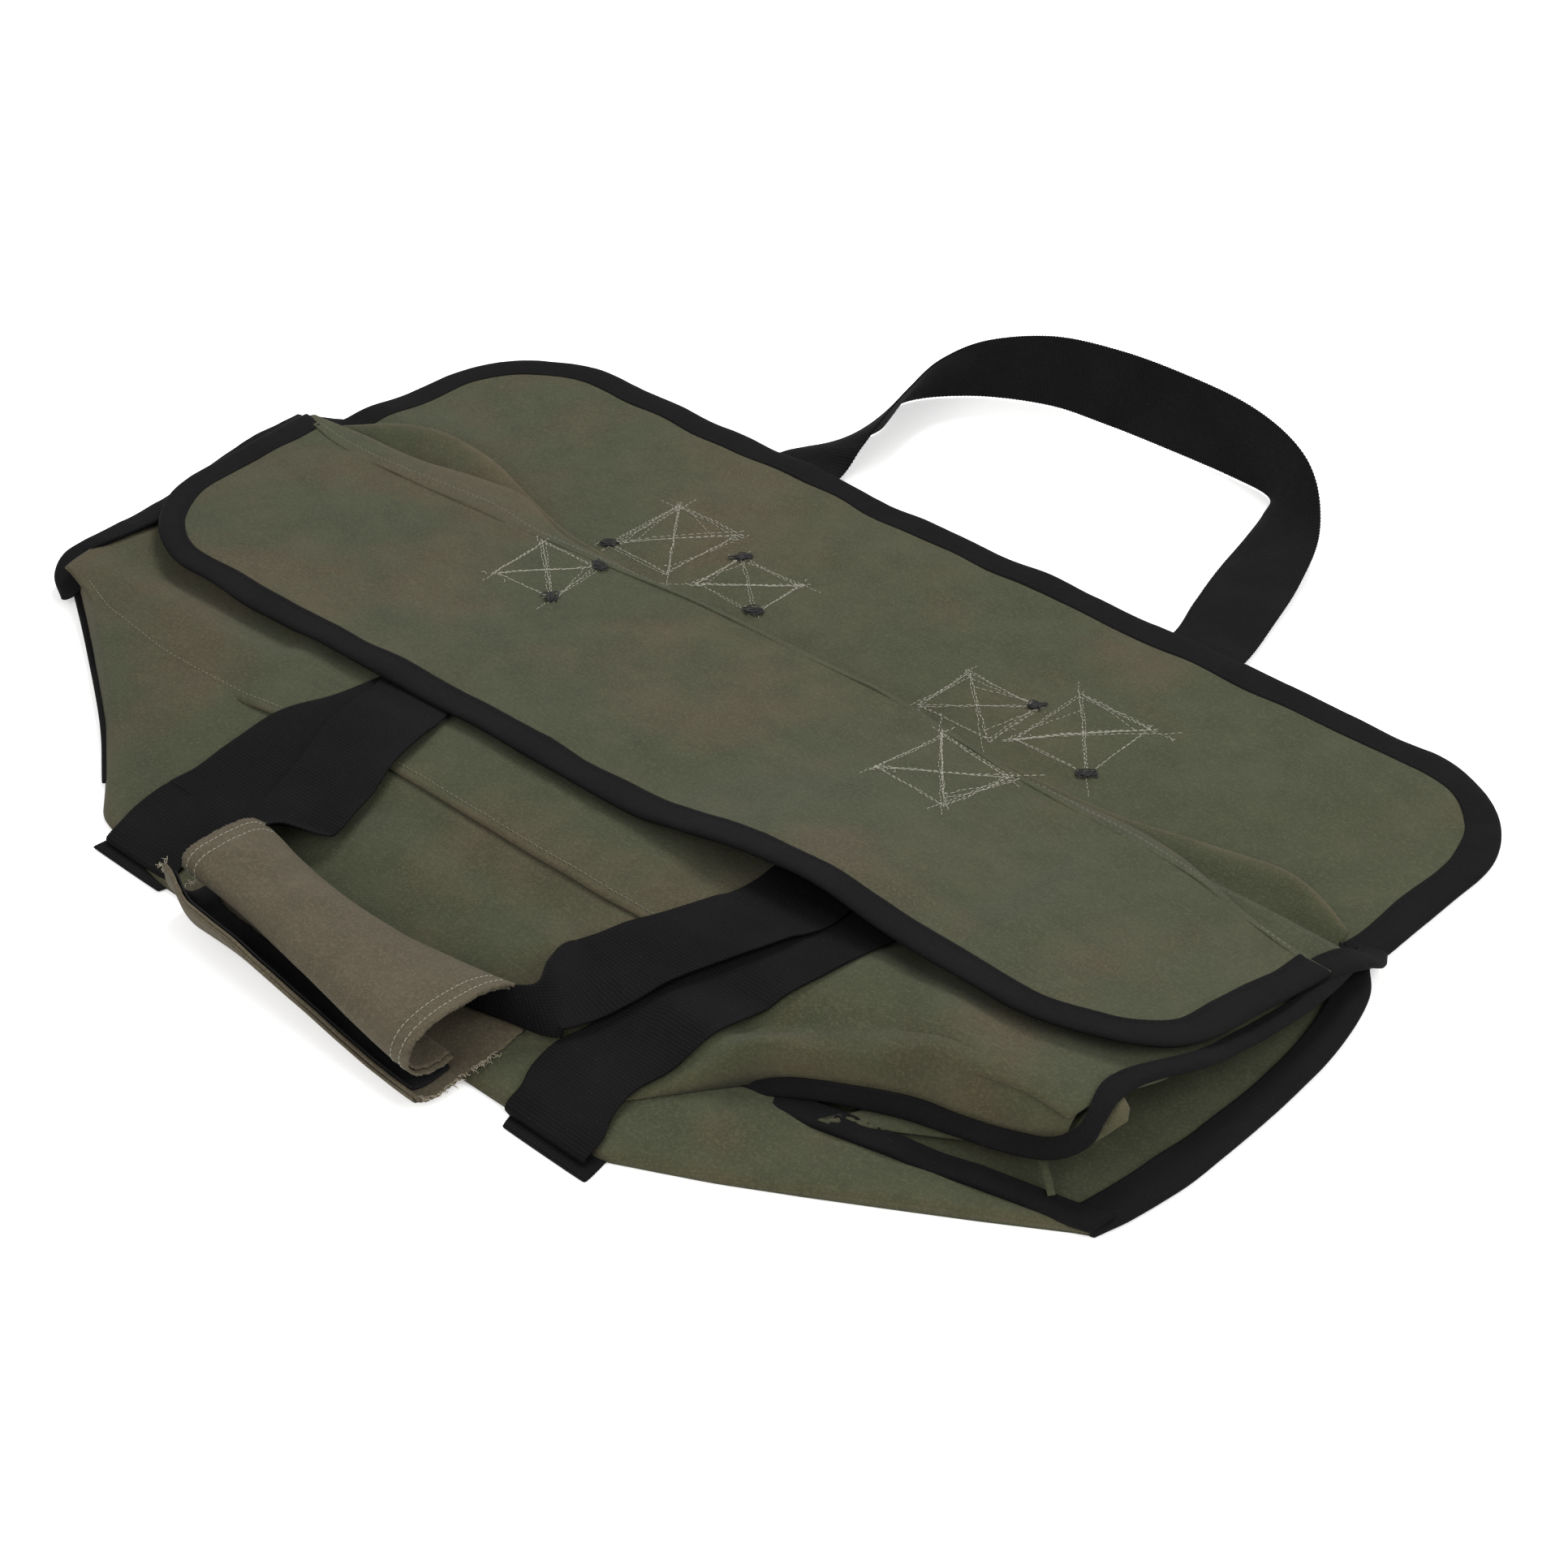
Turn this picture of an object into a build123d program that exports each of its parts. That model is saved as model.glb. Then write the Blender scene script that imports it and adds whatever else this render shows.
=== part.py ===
from build123d import *
import os

# Garden tool bag, lying collapsed on its back wall. Millimetres.
# X runs along the mouth, +Y points from the bag's bottom to its mouth, Z is up.
# Heights are in the helpers below as y from the mouth line; MOUTH_Y moves that
# line so that the origin sits at the middle of the back wall's underside.
LENGTH = 776.0            # mouth length without the end seams
WALL_H = 225.0            # back and front wall, bottom seam to mouth
FLAP_D = 182.0            # depth of a cover flap
FLAP_R = 75.0             # corner radius of a cover flap
BASE_FOLD_Y = -342.0      # where the base panel folds under
MOUTH_Y = 170.0
CLOTH = 2.0               # canvas with its turned seams, as one solid
WEB_W = 50.0              # webbing width
WEB_T = 1.8
TAPE_W = 17.0             # face width of the folded binding tape
TAPE_T = 4.4
THREAD = 0.7
GRIP_L = 189.0
END_X = LENGTH / 2
SEAM_Y = -WALL_H

os.makedirs("parts", exist_ok=True)


def save(shape, name):
    shape = shape.moved(Location((0, MOUTH_Y, 0)))
    export_step(shape, f"parts/{name}.step")
    print(name, round(shape.volume), "mm3")


# Outer surface of the upper side: z at y stations, at the left end, the middle
# and the right end.
STATION_Y = (20.0, -12.0, -60.0, -120.0, -190.0, SEAM_Y, -258.0, -285.0, -315.0, -335.0)
LEFT_Z = (16.0, 16.0, 20.0, 27.0, 32.0, 27.0, 19.0, 12.0, 7.0, 6.6)
MID_Z = (16.0, 16.0, 22.0, 32.0, 40.0, 33.0, 23.0, 14.0, 7.0, 6.6)
RIGHT_Z = (16.0, 16.0, 24.0, 40.0, 52.0, 44.0, 16.0, 9.0, 7.0, 6.6)


def along(y, heights):
    for i in range(len(STATION_Y) - 1):
        y0, y1 = STATION_Y[i], STATION_Y[i + 1]
        if y1 <= y <= y0:
            return heights[i] + (heights[i + 1] - heights[i]) * (y - y0) / (y1 - y0)
    return heights[0] if y > STATION_Y[0] else heights[-1]


def top_z(x, y):
    """Height of the bag's upper outer surface at a plan position."""
    end = along(y, LEFT_Z if x < 0 else RIGHT_Z)
    mid = along(y, MID_Z)
    return mid + (end - mid) * min(abs(x) / END_X, 1.0)


def skin(sections):
    """Solid through closed polygons, straight between them."""
    wires = [Wire.make_polygon([Vector(*p) for p in s]) for s in sections]
    return Solid.make_loft(wires, True)


def upper_sheet(ys, lift, thick, xs):
    """Cloth that follows the upper surface, its underside lift above it."""
    sections = []
    for x in xs:
        low = [(x, y, top_z(x, y) + lift) for y in ys]
        high = [(x, y, top_z(x, y) + lift + thick) for y in reversed(ys)]
        sections.append(low + high)
    return skin(sections)


def ribbon_section(stations, i, thick):
    """Cross-section of a band at one pair of edge points."""
    before = stations[max(i - 1, 0)]
    after = stations[min(i + 1, len(stations) - 1)]
    a, b = Vector(*stations[i][0]), Vector(*stations[i][1])
    run = (Vector(*after[0]) + Vector(*after[1])) - (Vector(*before[0]) + Vector(*before[1]))
    up = (b - a).cross(run).normalized() * thick
    return [a, b, b + up, a + up]


def ribbon(stations, thick):
    """Flat band through pairs of edge points, its first face on those points."""
    return skin([ribbon_section(stations, i, thick) for i in range(len(stations))])


def ribbon_piece(stations, i, thick):
    """The band between one pair of edge points and the next."""
    return skin([ribbon_section(stations, j, thick) for j in (i, i + 1)])


def plan(points, z0, z1):
    """Upright prism over a plan outline."""
    face = Face(Wire.make_polygon([Vector(x, y, z0) for x, y in points]))
    return Solid.extrude(face, Vector(0, 0, z1 - z0))


def box(x0, x1, y0, y1, z0, z1):
    return Solid.make_box(x1 - x0, y1 - y0, z1 - z0).moved(Location((x0, y0, z0)))


def one(shape):
    """Largest solid of a boolean result."""
    return max(ShapeList(shape.solids()), key=lambda s: s.volume)


def common(a, b):
    return one(a & b)


def cut(a, *tools):
    for tool in tools:
        a = one(a - tool)
    return a


def flap_plan(x0, x1, root, edge, radius, z0, z1):
    """Flap outline: square at the root, rounded at its two outer corners."""
    low, high = min(root, edge), max(root, edge)
    body = box(x0, x1, low, high, z0, z1)
    corners = [e for e in body.edges().filter_by(Axis.Z) if abs(e.center().Y - edge) < 1]
    return body.fillet(radius, corners)


def on_top(x, y, lift):
    return (x, y, top_z(x, y) + lift)


def thread_run(a, b, z_of, wide=THREAD):
    """Straight row of stitching from a to b, half sunk in the cloth face."""
    (xa, ya), (xb, yb) = a, b
    length = ((xb - xa) ** 2 + (yb - ya) ** 2) ** 0.5
    nx, ny = -(yb - ya) / length * wide, (xb - xa) / length * wide
    ends = []
    for x, y in (a, b):
        z = z_of(x, y)
        ends.append([(x - nx, y - ny, z), (x + nx, y + ny, z),
                     (x + nx, y + ny, z + THREAD), (x - nx, y - ny, z + THREAD)])
    return skin(ends)


def x_box(cx, cy, wide, deep, z_of):
    """Box stitch with its two diagonals."""
    w, d = wide / 2, deep / 2
    corner = [(cx - w, cy - d), (cx + w, cy - d), (cx + w, cy + d), (cx - w, cy + d)]
    runs = [thread_run(corner[i], corner[(i + 1) % 4], z_of) for i in range(4)]
    runs += [thread_run(corner[0], corner[2], z_of), thread_run(corner[1], corner[3], z_of)]
    shape = runs[0]
    for run in runs[1:]:
        shape = shape.fuse(run)
    posts = [box(x - THREAD, x + THREAD, y - THREAD, y + THREAD, z_of(x, y), z_of(x, y) + THREAD)
             for x, y in corner]
    for post in posts:
        shape = shape.fuse(post)
    return one(shape)


# Straps of the body: centre line in plan over the top, then under the bag.
STRAP_LEFT = ((-12, -92), (-60, -92), (-120, -92), (-190, -94), (SEAM_Y, -106),
              (-258, -112), (-285, -117), (-315, -124), (-335, -124))
STRAP_RIGHT = ((-12, 214), (-60, 214), (-120, 213), (-190, 211), (SEAM_Y, 199),
               (-258, 191), (-285, 183), (-315, 174), (-335, 178))
UNDER_END = {-1: -70.0, 1: 108.0}
GROOVE = WEB_T + 0.2


def strap(centre, side):
    """Webbing strap: over the top, round the bottom fold and back underneath."""
    half = WEB_W / 2
    low = WEB_T + 0.05
    runs = [(on_top(x + half, y, 0.05), on_top(x - half, y, 0.05)) for y, x in centre]
    band = ribbon_piece(runs, 0, WEB_T)
    for first in range(1, len(runs) - 1):
        band = band.fuse(ribbon_piece(runs, first, WEB_T))
    x0, end = centre[-1][1] - half, UNDER_END[side]
    *_, far, near = ribbon_section(runs, len(runs) - 1, WEB_T)
    ring = [(-335, 6.65), (-342.2, 5.0), (-342.2, low), (-338, low), (-338, 0.05),
            (-343.2, 0.05), (-344.2, 1.2), (-344.2, 5.6), (-343.0, 6.7), (near.Y, near.Z)]
    fold = Face(Wire.make_polygon([Vector(x0, y, z) for y, z in ring]))
    band = band.fuse(Solid.extrude(fold, Vector(WEB_W, 0, 0)))
    x_mid = x0 + half
    under = plan([(x_mid - half, -338), (x_mid + half, -338), (end + half, 2), (end - half, 2)],
                 0.05, low)
    return one(band.fuse(under))


def groove(centre, side):
    x, end, half = centre[-1][1], UNDER_END[side], WEB_W / 2 + 0.4
    return plan([(x - half, -350), (x + half, -350), (x + half, -338),
                 (end + half, 2.6), (end - half, 2.6), (x - half, -338)], -1, GROOVE)


left_groove, right_groove = groove(STRAP_LEFT, -1), groove(STRAP_RIGHT, 1)

# Back wall, flat on the ground, relieved over the two straps below it.
BACK_RIGHT = END_X + 10.0
BACK_PLAN = ((-384, 2.6), (BACK_RIGHT, 2.6), (BACK_RIGHT, SEAM_Y), (-340, SEAM_Y), (-362, -190),
             (-384, -120))
back = cut(plan(BACK_PLAN, 0, 3.0), left_groove, right_groove)
save(back, "back_wall")

# Front wall, puffed up in the middle of its height, its ends drawn in towards the base.
LEFT_EDGE = ((-12.0, 388.0), (-60.0, 386.0), (-120.0, 378.0), (-190.0, 364.0), (SEAM_Y, 353.0))
RIGHT_EDGE = ((-12.0, 388.0), (-60.0, 388.0), (-120.0, 385.0), (-190.0, 376.0), (SEAM_Y, 368.0))
wall_y = [y for y in STATION_Y if SEAM_Y <= y < 2.0]
front = upper_sheet(wall_y, -CLOTH, CLOTH, (-END_X, 0, END_X))
wall_plan = [(-x, y) for y, x in LEFT_EDGE] + [(x, y) for y, x in reversed(RIGHT_EDGE)]
front = common(front, plan(wall_plan, -1, 90))
save(front, "front_wall")

# Base panel: upper leaf, fold and lower leaf, ends cut on the tucked-in diagonal.
BASE_PLAN = ((-350, SEAM_Y), (-300, -250), (-236, -284), (-176, -322), (-156, -346),
             (156, -346), (207, -332), (262, -303), (325, -267), (384, -236), (384, SEAM_Y))
BASE_TUCK = ((368.5, -224), (272, -262), (296, -284.5), (400, -240), (400, -224))


def base_section(x):
    ys = [y for y in STATION_Y if y <= SEAM_Y]
    outer = [(x, y, top_z(x, y)) for y in ys] + [(x, BASE_FOLD_Y, 4.6), (x, BASE_FOLD_Y, 1.6)]
    outer += [(x, -338.0, 0.0), (x, SEAM_Y, 0.0)]
    inner = [(x, SEAM_Y, 3.0), (x, -336.0, 3.0), (x, -338.4, 3.4), (x, -334.0, 4.6)]
    inner += [(x, y, top_z(x, y) - CLOTH) for y in reversed(ys[:-1])]
    return outer + inner


base = skin([base_section(x) for x in (-END_X, 0, END_X)])
base = cut(common(base, plan(BASE_PLAN, -1, 80)), left_groove, right_groove,
           plan(BASE_TUCK, 3.1, 80))
save(base, "base_panel")

save(strap(STRAP_LEFT, -1), "body_strap_left")
save(strap(STRAP_RIGHT, 1), "body_strap_right")


def end_panel(side, edges):
    """Folded inward between the two walls, open to the outside."""
    sections = []
    for y, edge in edges:
        y = max(min(y, -8.0), SEAM_Y + 1)
        edge, low, depth = edge - 1.0, 3.1, 70.0 + 0.12 * -y
        high = top_z(side * edge, y) - CLOTH - 0.4
        mid, inner = (low + high) / 2, edge - depth
        ring = [(edge, low), (inner, mid - 0.9), (inner, mid + 0.9), (edge, high),
                (edge, high - 1.6), (inner + 9, mid), (edge, low + 1.6)]
        sections.append([(side * x, y, z) for x, z in ring])
    return skin(sections)


save(end_panel(-1, LEFT_EDGE), "left_end_panel")
save(end_panel(1, RIGHT_EDGE), "right_end_panel")


def seam_tape(side, run, reach, thick):
    """Binding tape outward of a seam that runs through the points of run."""
    pairs = [((side * x, y, z), (side * (x + reach), y - 2, z + 0.4)) for x, y, z in run]
    return ribbon([(b, a) for a, b in pairs] if side < 0 else pairs, thick)


# Bound seams of the two ends.
left_back = ((384.2, 2.0, 0.1), (384.2, -118.0, 0.1), (364.0, -186.0, 0.1))
right_back = ((BACK_RIGHT + 0.2, 2.0, 0.1), (BACK_RIGHT + 0.2, -120.0, 0.1),
              (BACK_RIGHT + 0.2, SEAM_Y, 0.1))
save(seam_tape(-1, left_back, 11.0, TAPE_T), "left_back_binding")
save(seam_tape(1, right_back, TAPE_W - 1, TAPE_T), "right_back_binding")
for side, name, edges in ((-1, "left", LEFT_EDGE), (1, "right", RIGHT_EDGE)):
    run = [(x + 0.3, y, top_z(side * x, y) - TAPE_T) for y, x in edges]
    save(seam_tape(side, run, TAPE_W - 5, TAPE_T), f"{name}_front_binding")
lower = ribbon([((400, -240, 3.3), (398, -229, 3.3)), ((286, -276, 3.3), (280, -266, 3.3))], 3.0)
upper = ribbon([((280, -266, 6.0), (286, -276, 6.0)), ((370, -229, 33.0), (372, -240, 26.0))], 3.0)
save(one(lower.fuse(upper)), "right_base_binding")
lower = ribbon([((-318, -226, 8.0), (-314, -236, 7.0)), ((-250, -268, 8.0), (-246, -276, 7.0))],
               -3.0)
save(one(lower), "left_base_binding")

# Hemmed lips of the mouth, past the flap seams.
near_lip = skin([[(x, -11.9, 14.2), (x, y1, 14.2), (x, y1, 16.0), (x, -11.9, 16.0)]
                 for x, y1 in ((-END_X, 4), (-225, 24), (0, 17), (240, 15), (382, -4))])
save(near_lip, "near_lip_hem")
far_lip = skin([[(x, 4, 5.4), (x, y1, 5.4), (x, y1, 7.6), (x, 4, 7.6)]
                for x, y1 in ((-END_X, 27), (-215, 20), (0, 14), (270, 20), (END_X, 26))])
save(far_lip, "far_lip_hem")

# Sewn-down roots of the flaps, under the lips.
far_root = box(-END_X, END_X, 3.0, 28.5, 3.0, 5.2)
save(far_root, "far_flap_root_seam")
save(box(-END_X + 2, END_X - 8, -11.9, -9.5, 16.1, 19.5), "near_flap_root_seam")

# Far flap, lying open on the ground beyond the mouth.
FAR_Z = 3.0
far_full = flap_plan(-390, 390, 30.0, FLAP_D, FLAP_R, 0, 12)
far_inner = flap_plan(-390 + TAPE_W, 390 - TAPE_W, 30.0, FLAP_D - TAPE_W, FLAP_R - TAPE_W, -1, 13)
far_mid = flap_plan(-388, 388, 30.0, FLAP_D - 2, FLAP_R - 2, 0, 12)
slab = box(-400, 400, 0, 400, FAR_Z, FAR_Z + CLOTH)
far_panel = common(far_mid, slab)
save(far_panel, "far_flap_panel")
thick = box(-400, 400, 0, 400, FAR_Z - 1.1, FAR_Z + CLOTH + 1.1)
far_binding = cut(common(cut(far_full, far_inner), thick), far_panel)
save(far_binding, "far_flap_binding")


def far_face(x, y):
    return FAR_Z + CLOTH


for i, (cx, cy, wide, deep) in enumerate(((-137, 64, 49, 60), (-70, 57, 47, 40),
                                          (108, 54, 48, 40), (167, 68, 48, 56))):
    save(x_box(cx, cy, wide, deep, far_face), f"far_x_stitch_{i + 1}")

TAIL_Z = 0.9
for name, x0, x1 in (("left", -165.0, -115.0), ("right", 138.0, 188.0)):
    y_in = 96.0 if name == "left" else 98.0
    save(box(x0, x1, 34.0, y_in, TAIL_Z, TAIL_Z + WEB_T), f"far_handle_{name}_foot")
    tail = box(x0, x1, y_in, FLAP_D + 4.0, TAIL_Z - 0.1, TAIL_Z - 0.1 + 1.0)
    save(tail, f"far_handle_{name}_tail")

# Near flap, folded down over the front wall.
NEAR_LIFT = 6.0
flap_y = (-12.0, -60.0, -120.0, -190.0)
near_slab = upper_sheet(flap_y, NEAR_LIFT, CLOTH, (-END_X, 0, END_X))
near_thick = upper_sheet(flap_y, NEAR_LIFT - 1.1, CLOTH + 2.2, (-END_X, 0, END_X))
near_full = flap_plan(-388, 384, -12.0, -186.0, FLAP_R, 0, 90)
near_inner = flap_plan(-388 + TAPE_W, 384 - TAPE_W, -11.0, -186.0 + TAPE_W, FLAP_R - TAPE_W, -1, 91)
near_mid = flap_plan(-386, 382, -12.0, -184.0, FLAP_R - 2, 0, 90)
near_panel = common(near_mid, near_slab)
save(near_panel, "near_flap_panel")
near_binding = cut(common(cut(near_full, near_inner), near_thick), near_panel)
save(near_binding, "near_flap_binding")


def near_face(x, y):
    return top_z(x, y) + NEAR_LIFT + CLOTH


save(x_box(-142, -38, 50, 38, near_face), "near_x_stitch_1")
save(x_box(150, -38, 50, 38, near_face), "near_x_stitch_2")


def near_band(rows, lift, thick):
    return ribbon([(on_top(x1, y, lift), on_top(x0, y, lift)) for y, x0, x1 in rows], thick)


near_left = ((-20, -167, -117), (-60, -156, -106), (-120, -136, -86), (-190, -110, -60))
near_right = ((-20, 125, 175), (-60, 134, 184), (-120, 146, 196), (-190, 156, 206))
save(near_band(near_left, 2.9, WEB_T), "near_handle_left_tail")
save(near_band(near_right, 2.9, WEB_T), "near_handle_right_tail")

# Near handle: both legs on the wall, the middle on edge inside the grip.
LIE = 3.4
left_leg = [(on_top(-110, -191, LIE), on_top(-60, -191, LIE)),
            (on_top(-104, SEAM_Y, LIE), on_top(-54, SEAM_Y, LIE)),
            (on_top(-95, -258, LIE), on_top(-45, -258, LIE)),
            (on_top(-88, -285, LIE), (-46, -282, 22))]
middle = [((-82, -298, 15.2), (-66, -295, 33)),
          ((-70, -307.5, 15.2), (-66, -307.0, 38)),
          ((0, -308.5, 15.2), (0, -308.5, 38)),
          ((70, -308.5, 15.2), (70, -308.5, 38)),
          ((136, -307.5, 15.2), (134, -307.0, 38)),
          ((152, -298, 15.2), (138, -293, 33))]
right_leg = [(on_top(162, -285, LIE), (122, -282, 24)),
             (on_top(173, -258, LIE), on_top(127, -258, LIE)),
             (on_top(190, SEAM_Y, LIE), on_top(140, SEAM_Y, LIE)),
             (on_top(206, -191, LIE), on_top(156, -191, LIE))]
loop = [(b, a) for a, b in left_leg + middle + right_leg]
band = ribbon(loop, WEB_T)
# The bent legs are divided across their length, so each length is nearly flat.
spans = [(x0, x1, y0, y1) for x0, x1 in ((-200, 20), (20, 300))
         for y0, y1 in ((-215, -150), (-236, -215), (-256, -236), (-276, -256))]
spans += [(-200, -60, -400, -276), (-60, 130, -400, -276), (130, 300, -400, -276)]
save(Compound([common(band, box(x0, x1, y0, y1, -20, 120)) for x0, x1, y0, y1 in spans]),
     "near_handle_webbing")

# Grip: canvas wrapped round the webbing, open along its lower front.
GRIP_X0, GRIP_X1 = -63.0, -63.0 + GRIP_L


def grip_band(path, thick, x0, x1):
    """Band along X with its path in the upright plane, thickened inward."""
    stations = [((x1, y, z), (x0, y, z)) for y, z in path]
    return ribbon(stations, thick)


lower_path = ((-302.0, 37.0), (-302.0, 16.0), (-306.0, 11.0), (-314.0, 9.6), (-340.0, 9.2),
              (-366.0, 9.6))
upper_path = ((-366.0, 20.0), (-372.0, 27.0), (-371.5, 35.0), (-364.0, 42.0), (-346.0, 45.5),
              (-318.0, 45.0), (-306.0, 42.5), (-302.5, 39.0))
save(grip_band(lower_path, 2.0, GRIP_X0 - 2.6, GRIP_X1 + 6), "grip_lower_leaf")
save(grip_band(upper_path, 2.0, GRIP_X0, GRIP_X1), "grip_upper_leaf")
save(box(GRIP_X0 + 2, GRIP_X1, -364.0, -346.0, 11.7, 13.2), "grip_hook_strip")
for name, x in (("left", GRIP_X0 + 14), ("right", GRIP_X1 - 14)):
    rows = None
    for dx in (-2.3, 2.3):
        path = ((-364.0, 42.1), (-346.0, 45.6), (-318.0, 45.1), (-306.0, 42.6))
        row = ribbon([((x + dx - THREAD, y, z), (x + dx + THREAD, y, z)) for y, z in path], THREAD)
        rows = row if rows is None else rows.fuse(row)
    rows = rows.fuse(box(x - 2.3, x + 2.3, -333.0, -332.0, 45.4, 46.2))
    save(one(rows), f"grip_{name}_stitching")

# Far handle: feet flat at the flap's edge, the loop standing on its edge.
far_loop = [((-165, 187.5, 0.8), (-115, 187.5, 0.8)), ((-160, 203, 0.8), (-114, 204, 20)),
            ((-147, 225, 0.5), (-112, 222, 36)), ((-140, 250, 0.5), (-114, 248, 43)),
            ((-150, 286, 0.5), (-122, 290, 42)), ((-132, 320, 0.5), (-108, 333, 42)),
            ((-96, 340, 0.5), (-92, 346, 49)), ((-56, 348, 0.5), (-58, 353, 50)),
            ((2, 347, 0.5), (4, 357, 49)), ((62, 346, 0.5), (66, 348, 50)),
            ((108, 330, 0.5), (111, 326, 50)), ((146, 299, 0.5), (144, 295, 50)),
            ((178, 256, 0.5), (184, 250, 49)), ((186, 228, 0.5), (200, 224, 48)),
            ((172, 205, 0.7), (203, 206, 39)), ((138, 187.5, 0.8), (188, 187.5, 0.8))]
save(ribbon([(b, a) for a, b in far_loop], 1.6), "far_handle_webbing")


# Rows of stitching that show on the wall seam and the near lip.
def seam_rows(y, x0, x1, lift):
    pts = [x0 + (x1 - x0) * i / 8 for i in range(9)]
    return ribbon([((x, y - THREAD, top_z(x, y - THREAD) + lift),
                    (x, y + THREAD, top_z(x, y + THREAD) + lift)) for x in pts][::-1], THREAD)


save(seam_rows(SEAM_Y + 6, -50.0, 124.0, 0.1), "wall_base_stitching")
hem = [((x, y - THREAD, 16.05), (x, y + THREAD, 16.05)) for x, y in
       ((-360, -4), (-225, 6), (0, 4), (240, 2), (360, -7))]
save(ribbon(hem[::-1], THREAD), "near_lip_stitching")
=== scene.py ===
import bpy
import math
import numpy as np
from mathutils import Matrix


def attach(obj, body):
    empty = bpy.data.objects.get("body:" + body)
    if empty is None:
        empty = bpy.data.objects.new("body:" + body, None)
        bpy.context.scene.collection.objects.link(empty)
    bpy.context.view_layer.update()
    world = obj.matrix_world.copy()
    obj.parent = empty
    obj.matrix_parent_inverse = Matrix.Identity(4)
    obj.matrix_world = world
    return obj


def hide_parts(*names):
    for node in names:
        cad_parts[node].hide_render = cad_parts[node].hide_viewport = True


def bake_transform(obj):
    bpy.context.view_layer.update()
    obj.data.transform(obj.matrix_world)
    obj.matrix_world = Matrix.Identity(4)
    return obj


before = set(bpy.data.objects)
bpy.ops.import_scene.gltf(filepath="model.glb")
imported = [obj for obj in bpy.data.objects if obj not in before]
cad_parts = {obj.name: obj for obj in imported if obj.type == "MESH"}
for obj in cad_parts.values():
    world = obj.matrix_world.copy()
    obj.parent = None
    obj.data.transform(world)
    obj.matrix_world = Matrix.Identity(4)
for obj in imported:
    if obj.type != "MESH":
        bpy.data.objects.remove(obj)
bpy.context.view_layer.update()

# Shapes are in millimetres from the middle of the mouth line, +X along the mouth,
# +Y away from the bag, +Z up; metres() and MOUTH take them into the CAD frame.
# Cloth sizes, floor, lights and camera are in metres.
MOUTH = 170.0
FLAP_D = 182.0
CANVAS_T = 1.3
TAPE_W = 17.5
WEB_W = 50.0
WEB_T = 1.7
# A band is lifted onto what it rests on above this y, if it's no deeper than this.
REST_Y, REST_DEPTH = -300, 9


# ---------------------------------------------------------------- geometry kit
def metres(points):
    p = np.array(points, float) / 1000.0
    p[..., 1] += MOUTH / 1000.0
    return p


def smooth(t):
    t = np.clip(t, 0.0, 1.0)
    return t * t * (3 - 2 * t)


def field(x, y, size, seed):
    """Smooth value noise from -1 to 1."""
    g = np.random.RandomState(seed).uniform(-1, 1, (97, 97))
    u, v = np.asarray(x) / size + 31.3, np.asarray(y) / size + 47.7
    i, j = np.floor(u).astype(int), np.floor(v).astype(int)
    f, h = smooth(u - i), smooth(v - j)
    a, b = g[i % 97, j % 97], g[(i + 1) % 97, j % 97]
    c, d = g[i % 97, (j + 1) % 97], g[(i + 1) % 97, (j + 1) % 97]
    return (a * (1 - f) + b * f) * (1 - h) + (c * (1 - f) + d * f) * h


def rolls(x, y, size, seed):
    return 0.6 * field(x, y, size, seed) + 0.4 * field(x, y, size * 0.47, seed + 1)


def ridge(x, y, a, b, height, wide):
    """Soft fold along a line from a to b; negative height makes a valley."""
    (ax, ay), (bx, by) = a, b
    run = (bx - ax) ** 2 + (by - ay) ** 2
    t = ((x - ax) * (bx - ax) + (y - ay) * (by - ay)) / run
    c = np.clip(t, 0, 1)
    d2 = (x - ax - c * (bx - ax)) ** 2 + (y - ay - c * (by - ay)) ** 2
    return height * np.exp(-d2 / (2 * wide * wide))


def ridges(z, x, y, folds):
    """Height z with folds added, each given as its two ends, height and half width."""
    for a, b, height, wide in folds:
        z = z + ridge(x, y, a, b, height, wide)
    return z


def run_along(points):
    """Distance of each point from the first, along the line of points."""
    return np.r_[0, np.cumsum(np.linalg.norm(np.diff(points, axis=0), axis=1))]


def between(s, knots, points):
    """Points at s on the line through points, which lie at knots."""
    return np.column_stack([np.interp(s, knots, points[:, k]) for k in range(points.shape[1])])


def even(points):
    """Knots from 0 to 1, one for each point."""
    return np.linspace(0, 1, len(points))


def spline(points, step):
    """Catmull-Rom curve through points, resampled at about step."""
    p = np.array(points, float)
    p = np.vstack([2 * p[0] - p[1], p, 2 * p[-1] - p[-2]])
    t = np.linspace(0, 1, 40, endpoint=False)[:, None]
    out = []
    for k in range(len(p) - 3):
        a, b, c, d = p[k], p[k + 1], p[k + 2], p[k + 3]
        out.append(0.5 * (2 * b + (c - a) * t + (2 * a - 5 * b + 4 * c - d) * t ** 2
                          + (3 * b - a - 3 * c + d) * t ** 3))
    out = np.vstack(out + [p[-2][None, :]])
    run = run_along(out)
    count = max(int(round(run[-1] / step)), 2) + 1
    return between(np.linspace(0, run[-1], count), run, out)


def unit(v):
    return v / (np.linalg.norm(v, axis=-1, keepdims=True) + 1e-9)


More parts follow.
